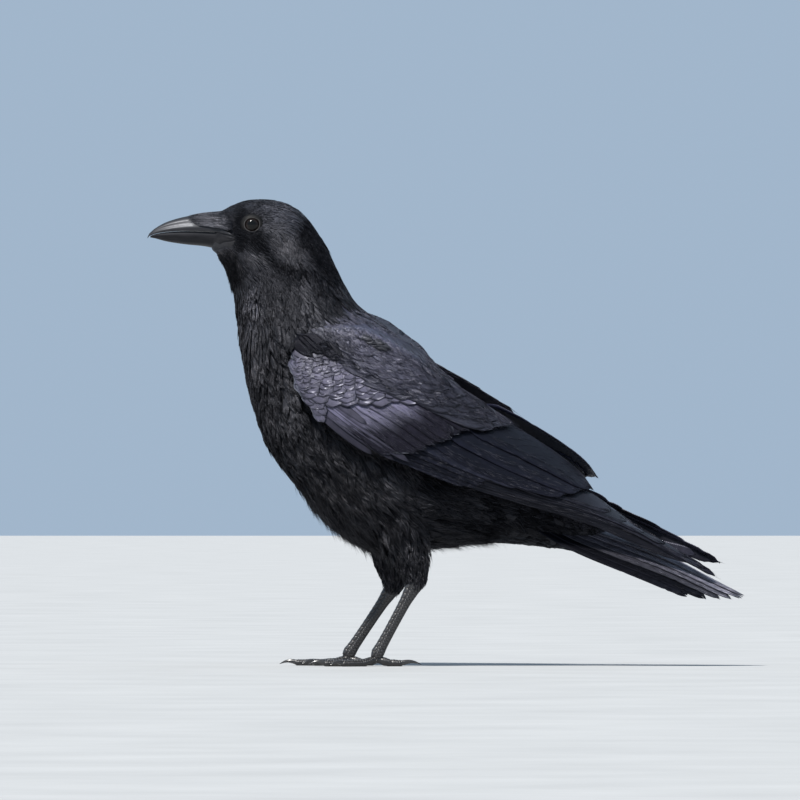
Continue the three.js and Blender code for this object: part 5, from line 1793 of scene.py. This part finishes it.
def bristles():
    """Stiff forward bristles that lie over the base of the upper bill and hide the nostrils."""
    count = 1300
    turn = 1.4 * np.sign(rng.random(count) - 0.5) * rng.random(count) ** 0.6
    share = rng.random(count)
    low = smooth(np.abs(turn), 0.7, 1.3)  # the lowest ones are the shorter
    reach = mix(-134.5, -131.0, low) + 8 * (1 - share) ** 2 + rng.normal(0.4, 1.5, count)
    root = mix(-113.5, -110.5, low) + 8 * (0.5 - share) + rng.normal(0, 0.6, count)
    root = np.maximum(root, reach + 6)
    stops = np.array([0, 0.35, 0.7, 1.0])
    x = mix(root[:, None], reach[:, None], stops[None])
    place = np.interp(-x, -np.array(HORN_X, float), np.arange(len(HORN_X)))
    t = turn[:, None] * mix(1.0, 0.93, stops)[None] + rng.normal(0, 0.03, (count, 1))
    skin = over_face(horn_point(True, place, t, BRISTLE_RIDGE), 1 - smooth(-x, 113, 119), 0.5)
    across = unit(horn_point(True, place, t + 0.05) - horn_point(True, place, t - 0.05))
    along = unit(np.gradient(skin, axis=1))
    up = unit(np.cross(along, across))
    up = up * np.sign(dot(up, skin - [-120, 0, 279]))
    rise = (0.25 + 0.9 * rng.random((count, 1))) * mix(1.0, 0.55, stops ** 2)[None]
    columns = np.linspace(-1, 1, 3)
    width = 0.5 * rng.uniform(0.7, 1.3, count)
    half = width[:, None] / 2 * np.array([0.8, 1.0, 0.8, 0.15])
    points = (skin[:, :, None] + across[:, :, None] * (half[..., None] * columns)[..., None]
              + up[:, :, None] * (rise[..., None]
                                  + 0.25 * half[..., None] * (1 - columns ** 2))[..., None])
    spot = np.stack([0.02 + 0.03 * share, 0.3 + 0.2 * turn / 2], -1)
    tone = np.clip(rng.normal(0.66, 0.24, count), 0, 1)
    vanes = tract(points, tone, np.full(count, 0.4), spot, 2 * half, np.abs(reach - root), stops)
    new_coat("bill_bristles", [vanes], BRISTLE_PAINT)


bristles()


# ---------------------------------------------------------------- eyes
def eye_frame(side):
    """An eye's middle and the way that it looks, out to its side and a little forward, up and fore."""
    centre = np.array([EYE_X + 0.6, side * EYE_Y, EYE_Z - 0.8])
    out = unit(np.array([-0.04, side * 1.0, 0.0]))
    up = unit(np.array([0.0, 0.0, 1.0]) - out * out[2])
    return centre, out, up, np.cross(up, out) * side


def eyes():
    """Two balls with a bulging cornea. The paint reads "out", the angle from the eye's axis."""
    for name, side in (("left", -1), ("right", 1)):
        centre, out, up, fore = eye_frame(side)
        polar = np.linspace(0.0005, math.pi - 0.0005, 56)
        turn = np.linspace(0, 2 * math.pi, 64, endpoint=False)
        swell = 0.55 * np.exp(-(polar / 0.52) ** 4)  # the cornea
        radius = EYE_RADIUS - 0.35 + swell
        around = fore[None] * np.cos(turn)[:, None] + up[None] * np.sin(turn)[:, None]
        rings = (centre + out * (radius * np.cos(polar))[:, None, None]
                 + around[None] * (radius * np.sin(polar))[:, None, None])
        points, quads, ends = tube(rings)
        quads, ends = facing_out(points, [quads, ends])
        away = np.concatenate([np.repeat(polar, len(turn)), [0, math.pi]])
        piece = new_object(f"{name}_eyeball", points, [quads, ends], [EYE_PAINT],
                           values={"out": away})
        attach(piece, "root")
        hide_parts(f"{name}_eye")


eyes()

# The eyelids from the ball outwards: distance from the eye's axis, height along it, paleness.
LID = [(4.25, 5.0, 0), (4.55, 5.4, 0.0), (4.85, 5.6, 0.7), (5.05, 5.66, 1), (5.25, 5.5, 0.6), (5.45, 5.1, 0),
       (5.8, 4.9, 0), (6.1, 5.0, 0.12), (6.4, 4.7, 0), (7.0, 4.0, 0), (7.8, 2.6, 0)]


def eyelids(side):
    """Pale rimmed lids round the eye, a wrinkled ring of bare skin behind them."""
    centre, out, up, fore = eye_frame(side)
    turn = np.linspace(0, 2 * math.pi, 120, endpoint=False)
    rows, pale = [], []
    for k, (radius, height, light) in enumerate(LID):
        wrinkle = 0.09 * np.sin(turn * 31 + 2.1 * k) * (k > 4)
        # rear corner
        corner = 0.35 * np.exp(-((np.angle(np.exp(1j * (turn - math.pi + 0.5)))) / 0.35) ** 2)
        oval = mix(1.0, 0.89, np.sin(turn) ** 2)
        r = (radius + wrinkle + corner * (k < 6)) * oval
        hood = 0.3 * smooth(np.sin(turn), 0.2, 1.0) * (k > 3)
        rows.append(centre + out * (height + hood)[:, None] + fore * (r * np.cos(turn))[:, None]
                    + up * (r * np.sin(turn))[:, None])
        pale.append(np.full(len(turn), light))
    for row, share in ((-1, 0.75), (0, 0.8)):
        rows.append(centre + (rows[row if row else 0] - centre) * share)
        pale.append(np.zeros(len(turn)))
    rings = np.array(rows)
    count = len(rings)
    r = np.arange(count)[:, None] * len(turn)
    nxt = ((np.arange(count) + 1) % count)[:, None] * len(turn)
    c = np.arange(len(turn))[None]
    d = (c + 1) % len(turn)
    quads = np.stack([r + c, r + d, nxt + d, nxt + c], -1).reshape(-1, 4)
    points = rings.reshape(-1, 3)
    return points, facing_out(points, [quads])[0], np.zeros((0, 3), int), np.concatenate(pale)


# ---------------------------------------------------------------- legs
def saw(x):
    """Overlapping scutes: a slow rise and a quick fall once per unit."""
    f = x - np.floor(x)
    return np.where(f < 0.86, f / 0.86, (1 - f) / 0.14)


def tarsus_rings(leg):
    """Rings of the bare tarsus, from inside the heel's feathers to the joint of the toes."""
    heel, foot = leg_point(leg, "heel"), leg_point(leg, "foot")
    shares = [-0.07, -0.03, 0.04, 0.16, 0.3, 0.6, 0.84, 0.95, 1.02]
    sizes = np.array([ANKLE * 0.5, ANKLE * 0.85, ANKLE * 0.97, ANKLE * 0.83, SHAFT * 1.03,
                      SHAFT * 0.95, SHAFT, TOE_JOINT * 0.93, TOE_JOINT * 0.62])
    at = [mix(heel, foot, share) for share in shares]
    return limb_rings(at, sizes, sizes * LEG_FLAT, 170, 40)


def tarsus_form(leg):
    """The tarsus, with low steps down its front and fine beads behind."""
    rings = tarsus_rings(leg)
    count, sides = rings.shape[:2]
    middle = rings.mean(1, keepdims=True)
    out = unit(rings - middle)
    along = np.linspace(0, 1, count)[:, None]
    turn = np.linspace(0, 2 * math.pi, sides, endpoint=False)[None]
    front = smooth(np.cos(turn), -0.1, 0.55)
    rear = smooth(-np.cos(turn), 0.2, 0.7)
    if (out[count // 2, 0] @ [1, 0, 0]) > 0:
        front, rear = rear, front
    plates = 0.15 * (saw(along * 15.5) - 0.5) * front
    beads = 0.06 * np.sin(along * 150 + 2.2 * np.sin(turn * 3)) * rear
    folds = 0.04 * np.sin(along * 60 + 4 * turn) * (1 - front) * (1 - rear)
    return tube(rings + out * (plates + beads + folds)[..., None])


def toe_frame(leg, degrees):
    """Where a leg's toes spring from, on the floor, and the ways along and across one of them."""
    turn = math.radians(degrees) * leg["side"]
    forward = np.array([-math.cos(turn), math.sin(turn), 0])
    x, y, _ = leg_point(leg, "foot")
    return np.array([x, y, 0]), forward, np.array([-forward[1], forward[0], 0])


def laid(frame, run, wide, height):
    """Rings of a toe or claw, cut flat where they meet the floor."""
    start, forward, across = frame
    return (start + forward * run[:, None, None] + across * wide[..., None]
            + np.array([0, 0, 1]) * np.maximum(0.0, height)[..., None])


def toe_rings(leg, degrees, length, radius, scaled):
    """The rings of a toe on padded joints, flat on the floor."""
    resting = 0.86  # height of the toe's middle, as a share of its radius
    d = [0.8, 5, 9, length * 0.55, length * 0.8, length]
    h = [4.4, 3.2, radius * resting, radius * 0.9 * resting, radius * 0.88 * resting,
         radius * 0.8 * resting]
    r = [radius * 0.95, radius, radius, radius * 0.9, radius * 0.88, radius * 0.8]
    count, sides = 96, 24
    u = np.linspace(0, 5, count)
    run, height, size = through(d, u), through(h, u), through(r, u)
    joints = 1 + 0.07 * np.cos(run / length * 2 * math.pi * 3)
    tip = np.sqrt(np.clip((length + 0.9 - run) / 2.2, 0, 1))
    t = np.linspace(0, 2 * math.pi, sides, endpoint=False)
    top = smooth(np.sin(t), -0.1, 0.5)[None]
    pads = smooth(-np.sin(t), 0.1, 0.6)[None]
    skin = (1 + scaled * 0.075 * (saw(run[:, None] / 1.75) - 0.5) * top
            + 0.05 * np.cos(run[:, None] * 1.4) * pads)
    rr = (size * joints * tip)[:, None] * skin
    return laid(toe_frame(leg, degrees), run, rr * np.cos(t), height[:, None] + rr * np.sin(t))


def on_rings(rings, row, turn):
    """Points of closed rings at row numbers and angles."""
    column = turn / (2 * math.pi) * rings.shape[1]
    r, c = np.clip(np.floor(row).astype(int), 0, len(rings) - 2), np.floor(column).astype(int)
    fr, fc = (row - r)[..., None], (column - c)[..., None]
    c, after = c % rings.shape[1], (c + 1) % rings.shape[1]
    return mix(mix(rings[r, c], rings[r, after], fc),
               mix(rings[r + 1, c], rings[r + 1, after], fc), fr)


def plates_on(rings, step, first, last, middle, half, rows, columns, lift, spot, jitter=0.0):
    """Closed scutes down a limb, each one's lower edge over the next. Lengths are in mm."""
    centre = rings.mean(1)
    run = np.concatenate([[0], np.cumsum(np.linalg.norm(np.diff(centre, axis=0), axis=1))])
    start = np.arange(first, last, step)
    start = start + rng.normal(0, jitter, len(start))
    stops = np.linspace(0, 1, rows)
    t, x = stops[None, :, None], np.linspace(-1, 1, columns)
    along = start[:, None, None] + step * 1.22 * t * (1 - 0.2 * x * x) - 0.08 * step
    row = np.interp(along, run, np.arange(len(rings)))
    turn = middle + half * x * (1 - 0.12 * t ** 3) + 0 * row
    skin = on_rings(rings, row, turn)
    hub = through(centre, row.reshape(-1)).reshape(skin.shape)
    points = (skin + unit(skin - hub) * (mix(lift[0], lift[1], t ** 0.7)
                                         * (1 - 0.35 * x ** 4))[..., None])
    wide = np.linalg.norm(points[:, :, -1] - points[:, :, 0], axis=-1)
    count = len(start)
    spots = np.array(spot) + np.stack([np.zeros(count), 0.1 * np.linspace(0, 1, count)], -1)
    return tract(points, np.clip(rng.normal(0.5, 0.15, count), 0, 1), np.full(count, 0.5), spots,
                 wide, np.full(count, step * 1.22), stops)


def scutes(name, leg, corner):
    """The scutes of a leg: broad ones down the front, small ones on the sides, and on each toe."""
    rings = tarsus_rings(leg)
    hub = rings[85].mean(0)
    front = 0.0 if rings[85, 0, 0] < hub[0] else math.pi
    parts = [plates_on(rings, 3.5, 8, 58, front, 1.15, 5, 9, (0.06, 0.34), (corner, 0.02))]
    for k, angle in enumerate((1.62, 2.12, 2.62, -1.62, -2.12, -2.62)):
        parts.append(plates_on(rings, 2.0, 7 + 0.9 * (k % 2), 58, front + angle, 0.31, 4, 5,
                               (0.06, 0.24), (corner + 0.01 * (k + 1), 0.02), 0.12))
    for k, (_, degrees, length, _, radius) in enumerate(TOES):
        rings = toe_rings(leg, degrees, length, radius, 0)
        for angle, step, half, lift in ((math.pi / 2, 1.9, 0.85, (0.05, 0.26)),
                                        (0.35, 1.5, 0.36, (0.05, 0.16)),
                                        (math.pi - 0.35, 1.5, 0.36, (0.05, 0.16))):
            parts.append(plates_on(rings, step, 2.5, length - 1.5, angle, half, 4, 7, lift,
                                   (corner + 0.02 * k, 0.16), 0.05))
    return new_coat(f"{name}_leg_scutes", parts, SCUTE_PAINT)


SCUTE_PAINT = scute_paint()
for k, (name, leg) in enumerate(LEGS.items()):
    scutes(name, leg, 0.80 + 0.1 * k)


def claws(name, leg):
    """Four curved claws, grooved below, each coming down to a fine point."""
    parts = []
    for _, degrees, length, claw, radius in TOES:
        f = np.linspace(0, 1, 26)
        t = np.linspace(0, 2 * math.pi, 18, endpoint=False)
        height = radius * 0.69 + 1.5 * np.sin(math.pi * np.minimum(1, f * 0.9)) - 1.25 * f * f
        size = radius * 0.74 * (1 - f) ** 0.75 + 0.06
        height = np.maximum(height, size + 0.1)
        run = length - 0.9 + (claw + 0.9) * f
        groove = 1 - 0.25 * np.exp(-((t - 1.5 * math.pi) / 0.5) ** 2)
        wide = size[:, None] * np.cos(t) * 0.82 * groove
        tall = size[:, None] * np.sin(t) * 1.05 * groove
        parts.append(tube(laid(toe_frame(leg, degrees), run, wide, height[:, None] + tall)))
    points, quads, ends = joined(parts)
    quads, ends = facing_out(points, [quads, ends])
    piece = new_object(f"{name}_claws", points, [quads, ends], [CLAW_PAINT])
    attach(piece, "root")
    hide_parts(*[f"{name}_claw_{toe[0]}" for toe in TOES])


def skin():
    """One skin for all the flesh: body and folded arms, eyelids, bare legs and toes."""
    arms = [arm_form(side) for side in (-1, 1)]
    body, faces, normals = remeshed([body_form()] + [tube(r) for r in thighs.values()] + arms)
    body = (body + normals * (face_folds(body) - 0.15
                              - wing_groove(body) * (under_wing(body, 1.5) < 0))[:, None])
    none = np.zeros((0, 3), int)
    parts = [(body, faces, none, 0, np.zeros(len(body)))]
    for name, leg in LEGS.items():
        toes = [tube(toe_rings(leg, degrees, length, radius, 1)) for _, degrees, length, _,
                radius in TOES]
        for points, quads, ends in [tarsus_form(leg)] + toes:
            quads, ends = facing_out(points, [quads, ends])
            parts.append((points, quads, ends, 1, np.zeros(len(points))))
        claws(name, leg)
    for side in (-1, 1):
        points, quads, ends, pale = eyelids(side)
        parts.append((points, quads, ends, 2, pale))
    points, quads, ends = joined([part[:3] for part in parts])
    which = np.concatenate([np.full(len(part[k]), part[3]) for k in (1, 2) for part in parts])
    tone, tint = marks_and_painted_light(points)
    piece = new_object("skin", points, [quads, ends], [HIDE_PAINT, LEG_PAINT, LID_PAINT],
                       which=which, values={"tone": np.clip(0.45 + tone, 0, 1),
                               "tint": np.clip(0.5 + tint, 0, 1),
                               "rim": np.concatenate([part[4] for part in parts])})
    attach(piece, "root")
    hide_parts("head", "neck", "trunk", "rump")
    for name in LEGS:
        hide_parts(f"{name}_thigh", f"{name}_tarsus",
                    *[f"{name}_toe_{toe[0]}" for toe in TOES])


skin()


# ---------------------------------------------------------------- stage, light and camera
def stage():
    """A plain pale floor, one soft sun and an even pale sky."""
    paint = Paint("pale_floor", Specular_IOR_Level=0.2)
    paint.set("Base Color", paint.ramp(paint.noise(9, 3), (0.3, (0.31, 0.315, 0.32)),
                                       (0.7, (0.35, 0.355, 0.36))))
    paint.set("Roughness", paint.spread(paint.noise(60, 2), 0.3, 0.7, 0.7, 0.8))
    reach = 40000.0  # the floor's half width, in mm
    corners = np.array([(-reach, -reach, 0), (reach, -reach, 0), (reach, reach, 0),
                        (-reach, reach, 0)])
    floor = new_object("floor", corners, [np.array([[0, 1, 2, 3]])], [paint.material])
    world = bpy.data.worlds.new("pale_world")
    bpy.context.scene.world = world
    world.use_nodes = True
    back = world.node_tree.nodes["Background"]
    back.inputs[0].default_value = (0.60, 0.78, 1.0, 1)
    back.inputs[1].default_value = 0.6
    light = bpy.data.lights.new("key", "SUN")
    light.angle, light.energy, light.color = math.radians(7), 7.2, (1.0, 0.97, 0.92)
    lamp = bpy.data.objects.new("key", light)
    lamp.location = (-0.8, -1.3, 2.3)
    lamp.rotation_euler = (-lamp.location).to_track_quat("-Z", "Y").to_euler()
    bpy.context.scene.collection.objects.link(lamp)


def camera():
    """Eight metres off, a hand's breadth above the floor, on a long lens: 0.64 mm to the pixel."""
    lens = bpy.data.cameras.new("camera")
    lens.lens, lens.sensor_width, lens.clip_end = 562.5, 36, 200
    eye = bpy.data.objects.new("camera", lens)
    middle = SHIFT[0] / 1000
    eye.location = (middle, -8.0, 0.1)
    aim = Vector((middle, 0, 0.1702))  # metres, as the location
    eye.rotation_euler = (aim - eye.location).to_track_quat("-Z", "Y").to_euler()
    bpy.context.scene.collection.objects.link(eye)
    bpy.context.scene.camera = eye


stage()
camera()
bpy.context.scene.view_settings.view_transform = "Standard"
